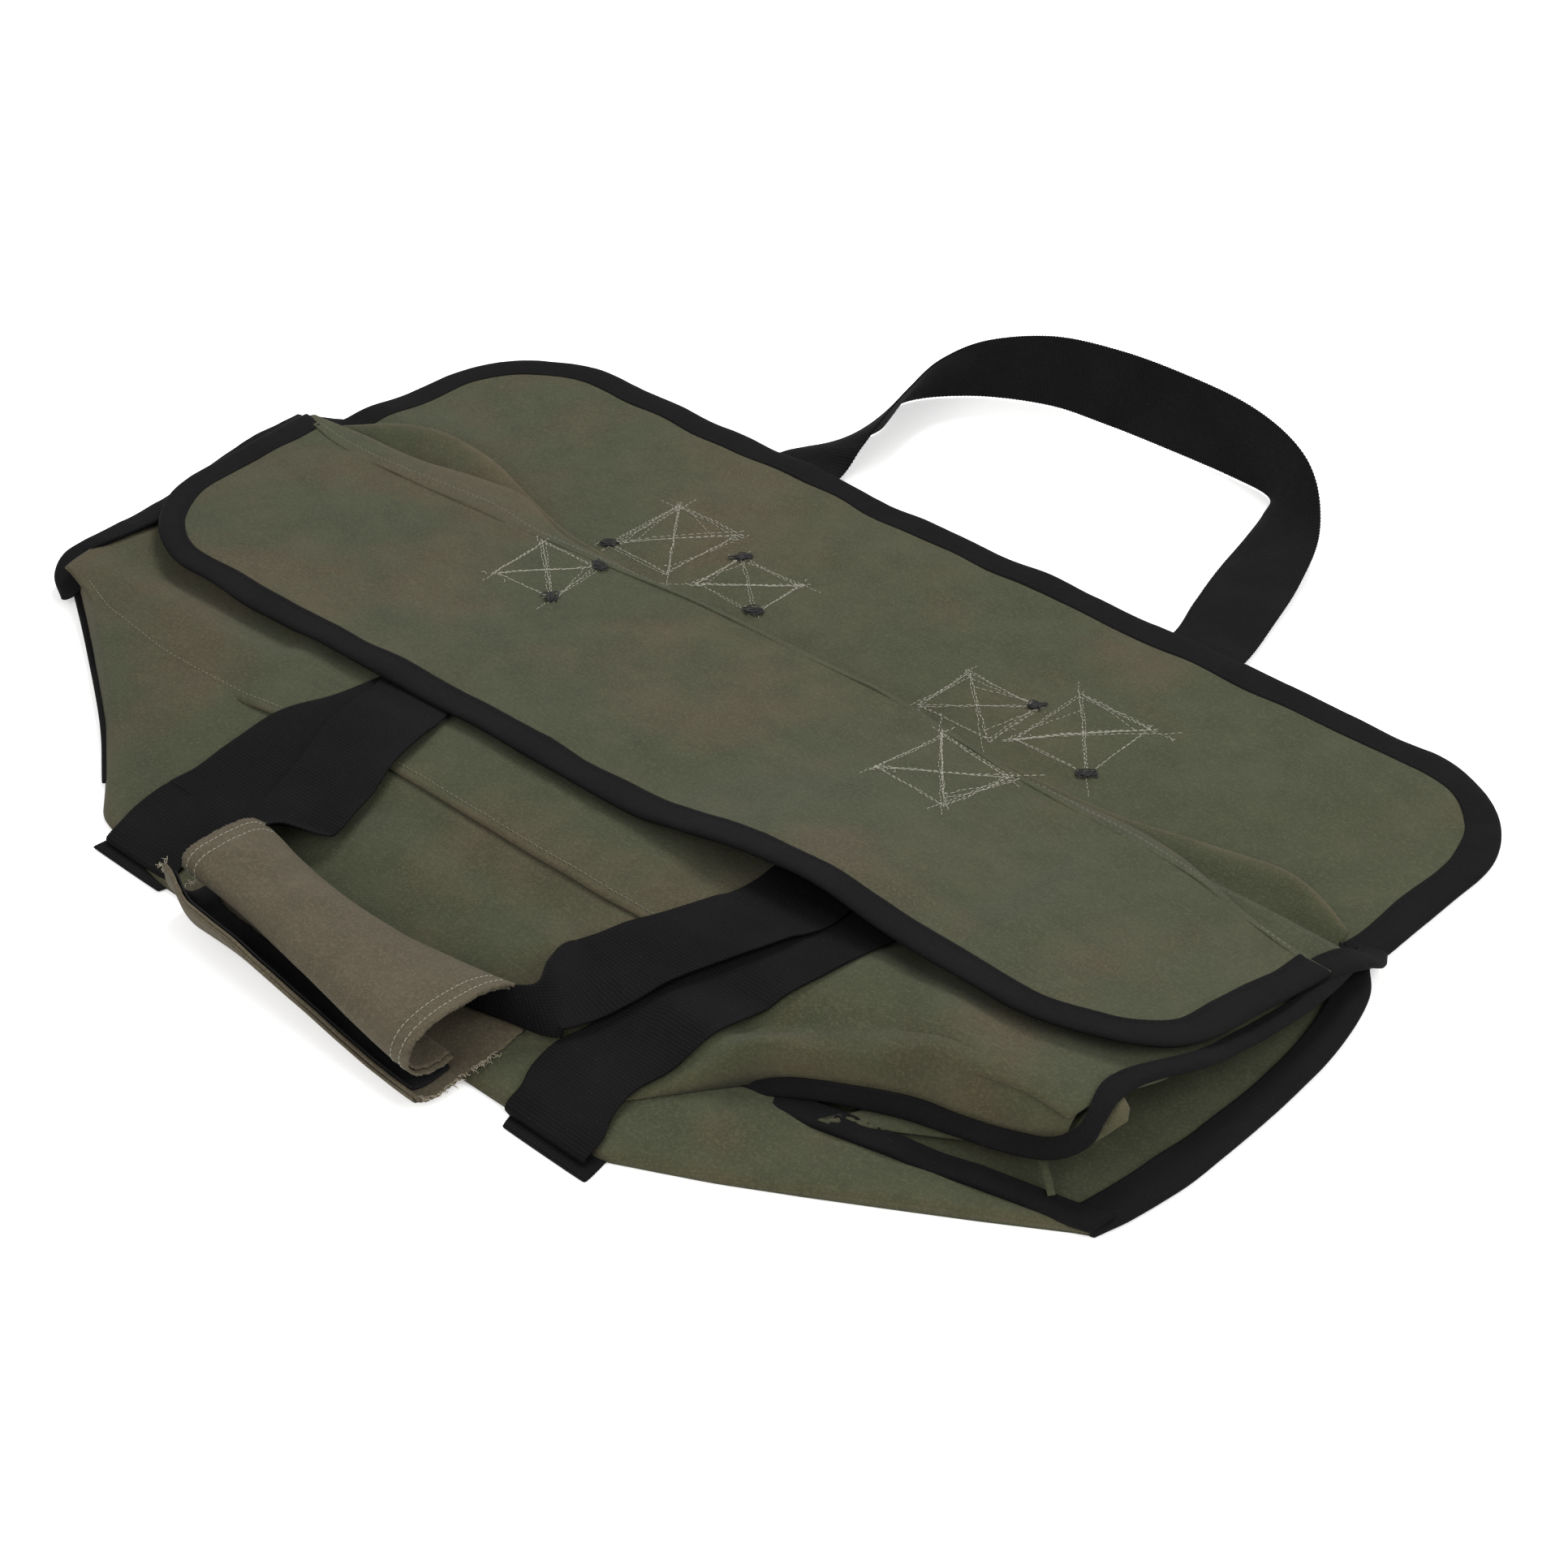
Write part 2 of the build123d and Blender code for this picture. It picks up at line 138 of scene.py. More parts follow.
def make_object(name, verts, faces, uvs, material, body, nodes=(), wear=None):
    mesh = bpy.data.meshes.new(name)
    mesh.from_pydata([tuple(v) for v in metres(verts)], [], faces)
    layer = mesh.uv_layers.new(name="cloth")
    index = np.empty(len(mesh.loops), int)
    mesh.loops.foreach_get("vertex_index", index)
    layer.data.foreach_set("uv", np.asarray(uvs, float)[index].ravel())
    if wear is not None:
        data = mesh.attributes.new("wear", "FLOAT", "POINT")
        data.data.foreach_set("value", np.asarray(wear, float).ravel())
    mesh.polygons.foreach_set("use_smooth", [True] * len(mesh.polygons))
    mesh.materials.append(material)
    mesh.update()
    obj = bpy.data.objects.new(name, mesh)
    bpy.context.scene.collection.objects.link(obj)
    if isinstance(body, tuple):
        a, b, start, end = body
        tuple(metres(start))
        tuple(metres(end))
        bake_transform(obj)
    else:
        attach(obj, body)
    if nodes:
        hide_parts(*nodes)


def stack(x, y, z):
    return np.stack([x, y, z], -1)


def unit_grid(nu, nv):
    """A column of nu values and a row of nv values, both from 0 to 1."""
    return np.linspace(0, 1, nu)[:, None], np.linspace(0, 1, nv)[None, :]


def grid_faces(nu, nv, start, flip):
    i, j = np.meshgrid(np.arange(nu - 1), np.arange(nv - 1), indexing="ij")
    a = (start + i * nv + j).ravel()
    quads = np.column_stack([a, a + nv, a + nv + 1, a + 1])
    return quads[:, ::-1] if flip else quads


def normals(grid):
    return unit(np.cross(np.gradient(grid, axis=0), np.gradient(grid, axis=1)))


def closed(top, bottom):
    """Vertices and faces of the solid between two matching grids."""
    nu, nv = top.shape[:2]
    n = nu * nv
    verts = np.vstack([top.reshape(-1, 3), bottom.reshape(-1, 3)])
    rim = [(i, 0) for i in range(nu)] + [(nu - 1, j) for j in range(1, nv)]
    rim += [(i, nv - 1) for i in range(nu - 2, -1, -1)] + [(0, j) for j in range(nv - 2, 0, -1)]
    ring = np.array([i * nv + j for i, j in rim])
    after = np.roll(ring, -1)
    side = np.column_stack([ring, ring + n, after + n, after])
    faces = np.vstack([grid_faces(nu, nv, 0, False), grid_faces(nu, nv, n, True), side])
    return verts, faces


def solid_piece(name, upper_side, lower_side, uv, material, body, nodes=(), wears=None):
    """Object that fills the space between two matching grids."""
    verts, faces = closed(upper_side, lower_side)
    make_object(name, verts, faces.tolist(), np.vstack([uv.reshape(-1, 2)] * 2), material, body,
                nodes, wears)


def sheet_piece(name, grid, uv, thick, material, body, nodes=(), wear=None, lift=0.0):
    """Cloth whose upper face is the grid raised by lift."""
    up = normals(grid)
    if up[..., 2].mean() < 0:
        grid, uv, up = grid[::-1], uv[::-1], -up[::-1]
        wear = None if wear is None else wear[::-1]
    wears = None if wear is None else np.r_[wear.ravel(), wear.ravel()]
    solid_piece(name, grid + up * lift, grid + up * (lift - thick), uv, material, body, nodes,
                wears)


def web(name, left, right, material, body, nodes=(), thick=WEB_T, columns=11, serrate=0.45,
        pitch=1.7, crown=0.5, rest=None):
    """Webbing band between two edge lines, with woven loops along its edges."""
    t = np.linspace(0, 1, columns)
    t = 0.5 - 0.5 * np.cos(np.pi * t) if columns > 8 else t
    run = run_along((left + right) / 2)
    across = unit(right - left)
    tooth = serrate * (0.5 + 0.5 * np.cos(2 * np.pi * run / pitch))[:, None]
    a, b = left - across * tooth, right + across * np.roll(tooth, 1, axis=0)
    mid = a[:, None] * (1 - t[None, :, None]) + b[:, None] * t[None, :, None]
    if rest is not None:
        low = rest(mid[..., 0], mid[..., 1])
        lies = (mid[..., 1] > REST_Y) & (mid[..., 2] > low - REST_DEPTH)
        mid[..., 2] = np.where(lies, np.maximum(mid[..., 2], low), mid[..., 2])
    up = normals(mid)
    edge = crown + (1 - crown) * np.sin(np.pi * t) ** 0.35
    half = (up * thick / 2) * edge[None, :, None]
    width = np.linalg.norm(right - left, axis=1)
    uv = np.stack([t[None, :] * width[:, None], np.repeat(run[:, None], columns, 1)], -1)
    solid_piece(name, mid + half, mid - half, uv, material, body, nodes)


# Section of a folded binding tape: distance in from the cloth's edge as a share of the
# tape's width, and height above the cloth as a share of its half thickness.
TAPE_SECTION = ((1.0, 0.25), (0.985, 0.8), (0.9, 1.0), (0.8, 0.72), (0.7, 0.98), (0.45, 1.12),
                (0.2, 1.3), (0.04, 1.2), (-0.06, 0.7), (-0.09, 0.0))


def tape(name, surface, path, inward, body, nodes=(), half=1.5, wide=TAPE_W, seed=1):
    """Binding tape folded over a cloth edge. surface maps cloth coordinates to points."""
    rows = len(path)
    run = run_along(path)
    pucker = 0.30 * np.sin(2 * np.pi * run / 5.1 + field(run, 0 * run, 40, seed) * 3)
    swell = 1 + 0.16 * field(run, 0 * run + 9, 24, seed + 3) + 0.10 * field(run, 0 * run, 7, seed + 4)
    breadth = wide * (1 + 0.08 * field(run, 0 * run + 5, 30, seed + 5))
    section = list(TAPE_SECTION) + [(w, -h) for w, h in TAPE_SECTION[-2::-1]]
    d = 0.8
    a, b = path[:, 0], path[:, 1]
    up = unit(np.cross(surface(a + d, b) - surface(a - d, b), surface(a, b + d) - surface(a, b - d)))
    if up[:, 2].mean() < 0:
        up = -up
    loops = []
    for w, h in section:
        reach = w * breadth
        seam = pucker if 0.75 < w < 0.95 else 0 * pucker
        base = surface(a + inward[:, 0] * reach, b + inward[:, 1] * reach)
        loops.append(base + up * (h * half * swell + np.sign(h) * seam)[:, None])
    grid = np.stack(loops, 1)
    k = len(section)
    i, j = np.meshgrid(np.arange(rows - 1), np.arange(k), indexing="ij")
    p = (i * k + j).ravel()
    q = (i * k + (j + 1) % k).ravel()
    faces = np.column_stack([p, q, q + k, p + k]).tolist()
    faces += [list(range(k))[::-1], [(rows - 1) * k + m for m in range(k)]]
    girth = np.cumsum([0] + [math.hypot((section[m + 1][0] - section[m][0]) * wide,
                                        (section[m + 1][1] - section[m][1]) * half)
                             for m in range(k - 1)])
    uv = np.stack([np.repeat(girth[None, :], rows, 0), np.repeat(run[:, None], k, 1)], -1)
    make_object(name, grid.reshape(-1, 3), faces, uv.reshape(-1, 2), binding, body, nodes)


def stitches(name, runs, material, body, nodes=(), radius=0.27):
    """Threads: each run is a line of points, as a thin round tube."""
    verts, faces, uvs = [], [], []
    sides = 6
    for points in runs:
        p = np.array(points, float)
        d = unit(np.gradient(p, axis=0))
        ref = np.where(np.abs(d[:, 2:3]) > 0.9, [[1.0, 0, 0]], [[0, 0, 1.0]])
        u = unit(np.cross(d, ref))
        v = np.cross(d, u)
        start = len(verts)
        n = len(p)
        for r in range(n):
            size = radius * (0.55 if r in (0, n - 1) else 1.0)
            for m in range(sides):
                w = 2 * math.pi * m / sides
                verts.append(p[r] + size * (math.cos(w) * u[r] + math.sin(w) * v[r]))
                uvs.append((m, r))
        for r in range(n - 1):
            for m in range(sides):
                a, b = start + r * sides + m, start + r * sides + (m + 1) % sides
                faces.append([a, b, b + sides, a + sides])
        faces.append([start + m for m in range(sides)][::-1])
        faces.append([start + (n - 1) * sides + m for m in range(sides)])
    make_object(name, np.array(verts), faces, np.array(uvs), material, body, nodes)


# ------------------------------------------------------------------ materials
def node_kit(name):
    mat = bpy.data.materials.new(name)
    mat.use_nodes = True
    nt = mat.node_tree
    bsdf = nt.nodes["Principled BSDF"]

    def add(kind, inputs=None, **props):
        node = nt.nodes.new(kind)
        for key, value in props.items():
            setattr(node, key, value)
        for key, value in (inputs or {}).items():
            if isinstance(value, bpy.types.NodeSocket):
                nt.links.new(value, node.inputs[key])
            else:
                node.inputs[key].default_value = value
        return node

    def link(a, b):
        nt.links.new(a, b)

    return mat, bsdf, add, link


def ramp(add, fac, start, low, end, high):
    """Grey that goes from low, where fac is start, to high, where fac is end."""
    node = add("ShaderNodeValToRGB", {"Fac": fac})
    for element, place, grey in zip(node.color_ramp.elements, (start, end), (low, high)):
        element.position = place
        element.color = (grey, grey, grey, 1.0)
    return node.outputs["Color"]


def noise(add, vector, scale, detail, rough=0.5):
    return add("ShaderNodeTexNoise", {"Vector": vector, "Scale": scale, "Detail": detail,
                                      "Roughness": rough}).outputs["Fac"]


def wave(add, vector, scale, distortion, detail, detail_scale, direction="X"):
    return add("ShaderNodeTexWave", {"Vector": vector, "Scale": scale, "Distortion": distortion,
                                     "Detail": detail, "Detail Scale": detail_scale},
               bands_direction=direction).outputs["Fac"]


def calc(add, operation, *values):
    return add("ShaderNodeMath", dict(enumerate(values)), operation=operation).outputs["Value"]


def coordinates(add):
    """Cloth coordinates in millimetres, and the object's own coordinates in metres."""
    uv = add("ShaderNodeUVMap", uv_map="cloth").outputs["UV"]
    return uv, add("ShaderNodeTexCoord").outputs["Object"]


def bumps(add, link, bsdf, fine, coarse):
    """Two layers of bump, each as height, strength and distance."""
    normal = None
    for height, strength, distance in (fine, coarse):
        values = {"Height": height, "Strength": strength, "Distance": distance}
        if normal is not None:
            values["Normal"] = normal
        normal = add("ShaderNodeBump", values).outputs["Normal"]
    link(normal, bsdf.inputs["Normal"])


def tinted(colour, factor):
    return tuple(factor * c for c in colour)


def mix(add, fac, a, b, mode="MIX"):
    node = add("ShaderNodeMix", data_type="RGBA", blend_type=mode)
    for key, value in (("Factor", fac), ("A", a), ("B", b)):
        socket = next(s for s in node.inputs if s.name == key and
                      s.type == ("VALUE" if key == "Factor" else "RGBA"))
        if isinstance(value, bpy.types.NodeSocket):
            node.id_data.links.new(value, socket)
        else:
            socket.default_value = value if key == "Factor" else (*value, 1.0)
    return next(s for s in node.outputs if s.type == "RGBA")


def canvas_material(name, tint, brown, pale, seed):
    mat, bsdf, add, link = node_kit(name)
    uv, pos = coordinates(add)
    # Brown, faded patches, more of them towards the left end.
    big = noise(add, pos, 10.0 + seed, 4.0, 0.55)
    side = add("ShaderNodeSeparateXYZ", {"Vector": pos}).outputs["X"]
    patch = ramp(add, calc(add, "MULTIPLY_ADD", side, -0.16, big), 0.50, 0, 0.66, 0.85)
    small = noise(add, pos, 42.0, 5.0, 0.6)
    slub = add("ShaderNodeMapping", {"Vector": uv, "Scale": (0.05, 1.4, 1.0)}).outputs["Vector"]
    slubs = noise(add, slub, 1.0, 3.0)
    turned = add("ShaderNodeMapping", {"Vector": uv, "Rotation": (0, 0, math.radians(58))})
    twill = wave(add, turned.outputs["Vector"], 0.30, 0.7, 2.0, 1.6)
    yarn = wave(add, uv, 0.42, 1.2, 2.0, 2.2, "Y")
    base = mix(add, patch, tint, brown)
    # Dark and pale grains, faded areas, thick yarns.
    grain = noise(add, pos, 620.0, 3.0, 0.7)
    base = mix(add, ramp(add, grain, 0.44, 0.5, 0.58, 0), base, tinted(tint, 0.45))
    base = mix(add, ramp(add, grain, 0.54, 0, 0.66, 0.5), base, pale)
    base = mix(add, ramp(add, small, 0.35, 0, 0.7, 0.35), base, pale)
    dark = tinted(tint, 0.62)
    base = mix(add, ramp(add, slubs, 0.40, 0.28, 0.62, 0), base, dark)
    # Rubbed edges, then the twill's dark lines.
    wear = add("ShaderNodeAttribute", attribute_name="wear").outputs["Fac"]
    base = mix(add, calc(add, "MULTIPLY", wear, small), base, tinted(brown, 1.35))
    weave = calc(add, "MULTIPLY", twill, yarn)
    base = mix(add, ramp(add, weave, 0.0, 0.42, 0.6, 0), base, dark)
    link(base, bsdf.inputs["Base Color"])
    bsdf.inputs["Roughness"].default_value = 0.93
    bsdf.inputs["Specular IOR Level"].default_value = 0.10
    bsdf.inputs["Sheen Weight"].default_value = 0.04
    bsdf.inputs["Sheen Roughness"].default_value = 0.6
    height = calc(add, "ADD", weave, slubs)
    crumple = noise(add, pos, 26.0, 5.0, 0.62)
    bumps(add, link, bsdf, (height, 0.42, 0.0006), (crumple, 0.22, 0.0035))
    return mat


# A wave texture of scale 1 repeats every 0.314 units.
WAVE = 0.314


def black_weave(name, dark, pale_and_crown_highlight, across, along, strength, rough):
    """Black woven band: across and along are the spacing of its yarns in millimetres."""
    mat, bsdf, add, link = node_kit(name)
    uv, pos = coordinates(add)
    warp = wave(add, uv, WAVE / across, 0.5, 1.5, 1.5)
    weft = wave(add, uv, WAVE / along, 0.8, 1.5, 1.5, "Y")
    weave = calc(add, "MULTIPLY", warp, weft)
    lint = noise(add, pos, 1500.0, 2.0)
    cloud = noise(add, pos, 30.0, 4.0)
    # The raised yarn crossings take the lighter colour: a painted highlight on the weave's crowns. The
    # lighter clouds and grey lint specks below are the band's own tone.
    base = mix(add, weave, dark, pale_and_crown_highlight)
    base = mix(add, ramp(add, cloud, 0.4, 0, 0.75, 0.5), base, pale_and_crown_highlight)
    grey = tuple(0.02 + 5 * c for c in pale_and_crown_highlight)
    base = mix(add, ramp(add, lint, 0.70, 0, 0.76, 0.55), base, grey)
    link(base, bsdf.inputs["Base Color"])
    bsdf.inputs["Roughness"].default_value = rough
    bsdf.inputs["Specular IOR Level"].default_value = 0.09
    ripple = noise(add, pos, 110.0, 2.0)
    bumps(add, link, bsdf, (weave, strength, 0.0006), (ripple, 0.35, 0.0022))
    return mat


def thread_material(name, colour, rough):
    mat, bsdf, add, link = node_kit(name)
    fuzz = noise(add, add("ShaderNodeTexCoord").outputs["Object"], 900.0, 3.0)
    base = mix(add, fuzz, tinted(colour, 0.6), tinted(colour, 1.25))
    link(base, bsdf.inputs["Base Color"])
    bsdf.inputs["Roughness"].default_value = rough
    return mat


OLIVE, BROWN, PALE = (0.0462, 0.0505, 0.0265), (0.0850, 0.0575, 0.0345), (0.0780, 0.0820, 0.0470)
canvas = canvas_material("canvas_twill", OLIVE, BROWN, PALE, 0.0)
khaki = canvas_material("canvas_khaki", (0.0790, 0.0652, 0.0400), (0.0870, 0.0722, 0.0465),
                        (0.1250, 0.1070, 0.0750), 2.0)
webbing = black_weave("webbing_black", (0.0018, 0.0018, 0.0019), (0.0065, 0.0065, 0.0066), 1.5, 1.9,
                      0.5, 0.85)
binding = black_weave("binding_tape", (0.0028, 0.0028, 0.0028), (0.0062, 0.0062, 0.0062), 0.8, 0.8,
                      0.35, 0.88)
hooks = black_weave("hook_tape", (0.003, 0.003, 0.0035), (0.016, 0.016, 0.017), 1.1, 1.1, 0.9, 0.7)
pale_thread = thread_material("thread_pale", (0.24, 0.232, 0.185), 0.75)
seam_thread = thread_material("thread_olive", (0.13, 0.125, 0.088), 0.8)
black_thread = thread_material("thread_black", (0.003, 0.003, 0.003), 0.8)

# --------------------------------------------------- the collapsed bag's form
STATION_Y = (30.0, -12.0, -60.0, -120.0, -190.0, -226.0, -258.0, -285.0, -315.0, -345.0)
LEFT_Z = (17.0, 17.0, 17.5, 19.5, 21.0, 19.0, 14.0, 10.0, 6.5, 5.0)
MID_Z = (16.0, 16.0, 20.0, 27.0, 33.0, 30.0, 22.0, 14.0, 8.0, 5.0)
RIGHT_Z = (17.0, 18.0, 22.0, 30.0, 41.0, 38.0, 25.0, 15.0, 8.0, 5.0)


def along(y, heights):
    ys, zs = np.array(STATION_Y[::-1]), np.array(heights[::-1])
    taps = ((-16, 0.12), (-8, 0.22), (0, 0.32), (8, 0.22), (16, 0.12))
    return sum(w * np.interp(y + d, ys, zs) for d, w in taps)


def curve(x, knots):
    """Smooth value along x through (x, value) pairs."""
    xs, vs = np.array(knots, float).T
    taps = ((-16, 0.15), (-8, 0.2), (0, 0.3), (8, 0.2), (16, 0.15))
    return sum(w * np.interp(x + d, xs, vs) for d, w in taps)


SEAM = ((-352, -214), (-300, -229), (-240, -236), (-170, -236), (-50, -227), (135, -229),
        (250, -224), (330, -214), (372, -206))
# Plan line of the bottom fold, and of the tuck above it at the right end.
FOLD = ((-356, -208), (-339, -216), (-288, -245), (-224, -284), (-182, -315), (-160, -333),
        (-120, -343), (-93, -347), (-60, -347), (-30, -343), (60, -343), (156, -342), (214, -337),
        (260, -313), (299, -290), (360, -252), (403, -224))
TUCK = ((150, -340), (186, -320), (200, -308), (218, -284), (238, -256), (262, -243), (285, -233),
        (305, -227), (327, -222), (355, -215), (371, -209))
# The tuck starts at TUCK_X; left of it the cloth goes down to GROUND at the bottom fold.
TUCK_X, GROUND = 184, 1.6
TUCK_Z = ((150, 5), (186, 9), (238, 10), (285, 9.5), (305, 11), (327, 13), (355, 17), (371, 27))


def line_y(x, knots, soft=4.0):
    xs, ys = np.array(knots, float).T
    return sum(np.interp(x + d, xs, ys) for d in (-soft, 0, soft)) / 3


TOP_FOLDS = (((-330, -200), (-180, -206), 3.5, 9), ((-300, -178), (-190, -186), -3, 8),
             ((-200, -262), (-140, -300), 2.5, 12), ((-20, -262), (60, -280), 3, 16),
             ((215, -246), (290, -226), -6, 9), ((188, -262), (262, -252), 5, 9),
             ((255, -185), (350, -212), 6, 14), ((246, -150), (270, -205), -4, 12),
             ((300, -120), (372, -150), -4, 16), ((-40, -246), (120, -246), -2.0, 9),
             ((90, -280), (128, -240), 3, 10))


def top(x, y):
    """Height of the upper face of front wall and base panel."""
    x, y = np.asarray(x, float), np.asarray(y, float)
    mid = along(y, MID_Z)
    far = np.where(x < 0, along(y, LEFT_Z), along(y, RIGHT_Z))
    z = ridges(mid + (far - mid) * smooth(np.abs(x) / 370), x, y, TOP_FOLDS)
    return z + 1.6 * rolls(x, y, 62, 11) * smooth((y + 345) / 60)


def wall_left(y):
    return np.interp(y, (-214, -190, -150, -110, -40, 0), (-354, -358, -357, -369, -388, -391))


def wall_right(y):
    return np.interp(y, (-226, -205, -190, -150, -100, -50, 0), (366, 374, 377, 384, 388, 388, 389))


def plan_grid(nu, nv, left, right, low, high):
    """Grid of plan points between two side lines and two end lines."""
    t = np.linspace(0, 1, nu)[:, None]
    s = np.linspace(0, 1, nv)[None, :]
    x = np.zeros((nu, nv)) + np.linspace(-352, 370, nu)[:, None]
    for _ in range(4):
        y = high(x) + (low(x) - high(x)) * s
        x = left(y) + (right(y) - left(y)) * t
    return x, high(x) + (low(x) - high(x)) * s


def cut_flat(grid):
    """Cloth coordinates of a grid: x across, true length down from its first row."""
    steps = np.linalg.norm(np.diff(grid, axis=1), axis=-1)
    run = np.cumsum(np.concatenate([0 * steps[:, :1], steps], 1), 1)
    return np.stack([grid[..., 0], grid[:, :1, 1] - run], -1)


def bag_cloth(name, x, y, z, nodes=(), wear=None, thick=CANVAS_T):
    """Canvas of the bag itself, with its cloth coordinates laid out in plan."""
    sheet_piece(name, stack(x, y, z), np.stack([x, y], -1), thick, canvas, "bag", nodes,
                wear)


def round_edge(gap, reach):
    """Share of full height at a gap from a rounded edge."""
    return np.sqrt(np.clip(1 - (1 - np.clip(gap / reach, 0, 1)) ** 2, 0, 1))


# Front wall: from the mouth down to its lapped seam.
x, y = plan_grid(190, 70, wall_left, wall_right, lambda x: line_y(x, SEAM), lambda x: 0 * x - 4)
near_edge = np.abs(y - line_y(x, SEAM))
merge = np.maximum(smooth((x - 190) / 40), 0.85 * smooth((-150 - x) / 30))
z = top(x, y) + 1.2 - merge * (0.5 + 2.6 * np.exp(-near_edge / 7))
wear = 0.5 * np.exp(-near_edge / 3.0) + 0.5 * np.exp(-np.abs(x - wall_left(y)) / 8)
bag_cloth("front_wall_cloth", x, y, z, ("front_wall",), wear)


# Base panel, upper side: from the seam to the bottom fold, or to the tuck at the right end.
def base_low(x):
    return np.where(x > TUCK_X, line_y(x, TUCK), line_y(x, FOLD))


t, s = unit_grid(220, 56)
x = -354 + t * 728 + 0 * s
y0, y1 = line_y(x, SEAM) + 9, base_low(x)
y = y0 + (y1 - y0) * s
gap = np.abs(y - y1)
rounded = round_edge(gap, 8 + 5 * smooth((x - 270) / 30))
low_z = np.where(x > TUCK_X, curve(x, TUCK_Z), GROUND)
roll = 5.0 * smooth((x - 206) / 36) * (1 - smooth((x - 290) / 50)) * np.exp(-((gap - 12) / 9) ** 2)
crest = np.maximum(top(x, y) - 0.6, low_z + 0.5)
z = low_z + (crest - low_z + roll) * rounded
wear = 0.5 * np.exp(-gap / 5) + 0.8 * np.exp(-np.abs(y - y0 - 9) / 4) * 0.4
sheet_piece("base_panel_upper", stack(x, y, z), cut_flat(stack(x, y, z)), CANVAS_T, canvas, "bag",
            ("base_panel",), wear)

# Base panel, the low strip beyond the tuck, out to the bottom fold.
STRIP_IN = ((150, -318), (186, -298), (215, -268), (240, -251), (272, -250), (300, -247), (340, -238),
            (403, -222))
t, s = unit_grid(110, 26)
x = 150 + t * 253 + 0 * s
y0, y1 = line_y(x, STRIP_IN), line_y(x, FOLD)
y1 = np.minimum(y1, y0 - 1.0)
y = y0 + (y1 - y0) * s
gap = np.abs(y - y1)
slope = 3.6 * smooth(gap / 45) * (1 - smooth((x - 235) / 40))
z = GROUND + (3.6 + slope + 1.4 * rolls(x, y, 40, 21)) * round_edge(gap, 6)
bag_cloth("base_panel_strip", x, y, z, (), 0.5 * np.exp(-gap / 4))

# Base panel, underside, and the back wall, both on the ground.
t, s = unit_grid(120, 20)
x = -356 + t * 758 + 0 * s
y0, y1 = line_y(x, FOLD) + 0.6, np.zeros_like(x) - 216
y1 = np.maximum(y1, y0 + 1.0)
y = y0 + (y1 - y0) * s
z = 1.5 + 0.25 * rolls(x, y, 45, 31)
bag_cloth("base_panel_under", x, y, z)
t, s = unit_grid(120, 40)
y = -224 + s * 232 + 0 * t
x_in = np.interp(y, (-224, -190, -120, 8), (-326, -350, -376, -387))
x = x_in + (np.interp(y, (-224, -205, -165, -60, -20, 8), (396, 400, 403, 401, 392, 376)) - x_in) * t
z = 2.9 + 0.25 * rolls(x, y, 50, 33)
bag_cloth("back_wall_cloth", x, y, z, ("back_wall",))


# ---------------------------------------------------------------------- flaps
FAR_FOLDS = (((-390, 40), (-300, 60), 3, 14), ((-60, 120), (60, 172), 1.4, 12),
             ((250, 60), (330, 150), 1.6, 16))
NEAR_FOLDS = (((262, 20), (285, 120), 3.0, 11), ((228, 30), (250, 120), -2.0, 9),
              ((330, 60), (388, 110), -2.5, 13), ((-330, 30), (-250, 60), 1.8, 16),
              ((-380, 20), (-330, 90), 2.0, 14), ((60, 150), (-60, 110), -1.5, 18))


def far_surface(a, b):
    """Far flap: a along the mouth, b out from the mouth line."""
    a, b = np.asarray(a, float), np.asarray(b, float)
    wave = 1.5 * field(a, 0 * a, 58, 41) * smooth(b / 160)
    z = 3.6 + 1.1 * rolls(a, b, 70, 43) + 1.2 * smooth((b - 120) / 60) * (field(a, b, 30, 44) + 0.4)
    tails = np.exp(-((a + 140) / 26) ** 2) + np.exp(-((a - 163) / 26) ** 2)
    z = z + 1.6 * tails * smooth((b - 20) / 40)
    z = ridges(z + 3.0 * smooth((30 - b) / 30), a, b, FAR_FOLDS)
    return stack(a + 0 * b, b + wave, np.maximum(z, 2.6))


def near_height(a, s):
    root = np.interp(a, (-389, -320, -200, 0, 250, 330, 392), (21, 22, 22, 21, 22, 25, 24))
    edge = curve(a, ((-400, 31), (-260, 32), (-170, 36), (-110, 38), (-60, 35), (-20, 33), (60, 34),
                     (100, 44), (140, 54), (190, 58), (245, 51), (300, 50), (350, 49), (385, 42),
                     (400, 38)))
    t = s / FLAP_D
    return root + (edge - root) * (0.55 * t + 0.45 * smooth(t))


NEAR_ROOT = ((-390, -6), (-340, -17), (-251, -13), (-185, -8), (-53, 5), (83, 8), (189, -5),
             (296, -10), (345, -24), (380, -30), (394, -30))


def near_surface(a, b):
    """Near flap: a along the mouth, b from its root seam to its outer edge."""
    a, b = np.asarray(a, float), np.asarray(b, float)
    root = curve(a, NEAR_ROOT)
    out = curve(a, ((-400, -176), (-300, -178), (-209, -181), (-115, -181), (-33, -180), (62, -180),
                    (130, -178), (193, -176), (250, -175), (326, -176), (400, -172)))
    out = out + 1.2 * field(a, 0 * a, 34, 51)
    y = root + (out - root) * b / FLAP_D
    z = ridges(near_height(a, b) + 1.5 * rolls(a, b, 75, 52) * smooth(b / 30), a, b, NEAR_FOLDS)
    x = a + 0.16 * b * smooth(-a / 388) - 0.05 * b * smooth((a - 150) / 238)
    clear = top(x, np.minimum(y, -6)) + 5.2 + 1.6 * smooth(b / 60)
    z = clear + np.logaddexp(0, (z - clear) * 0.9) / 0.9
    return stack(x, y, z)


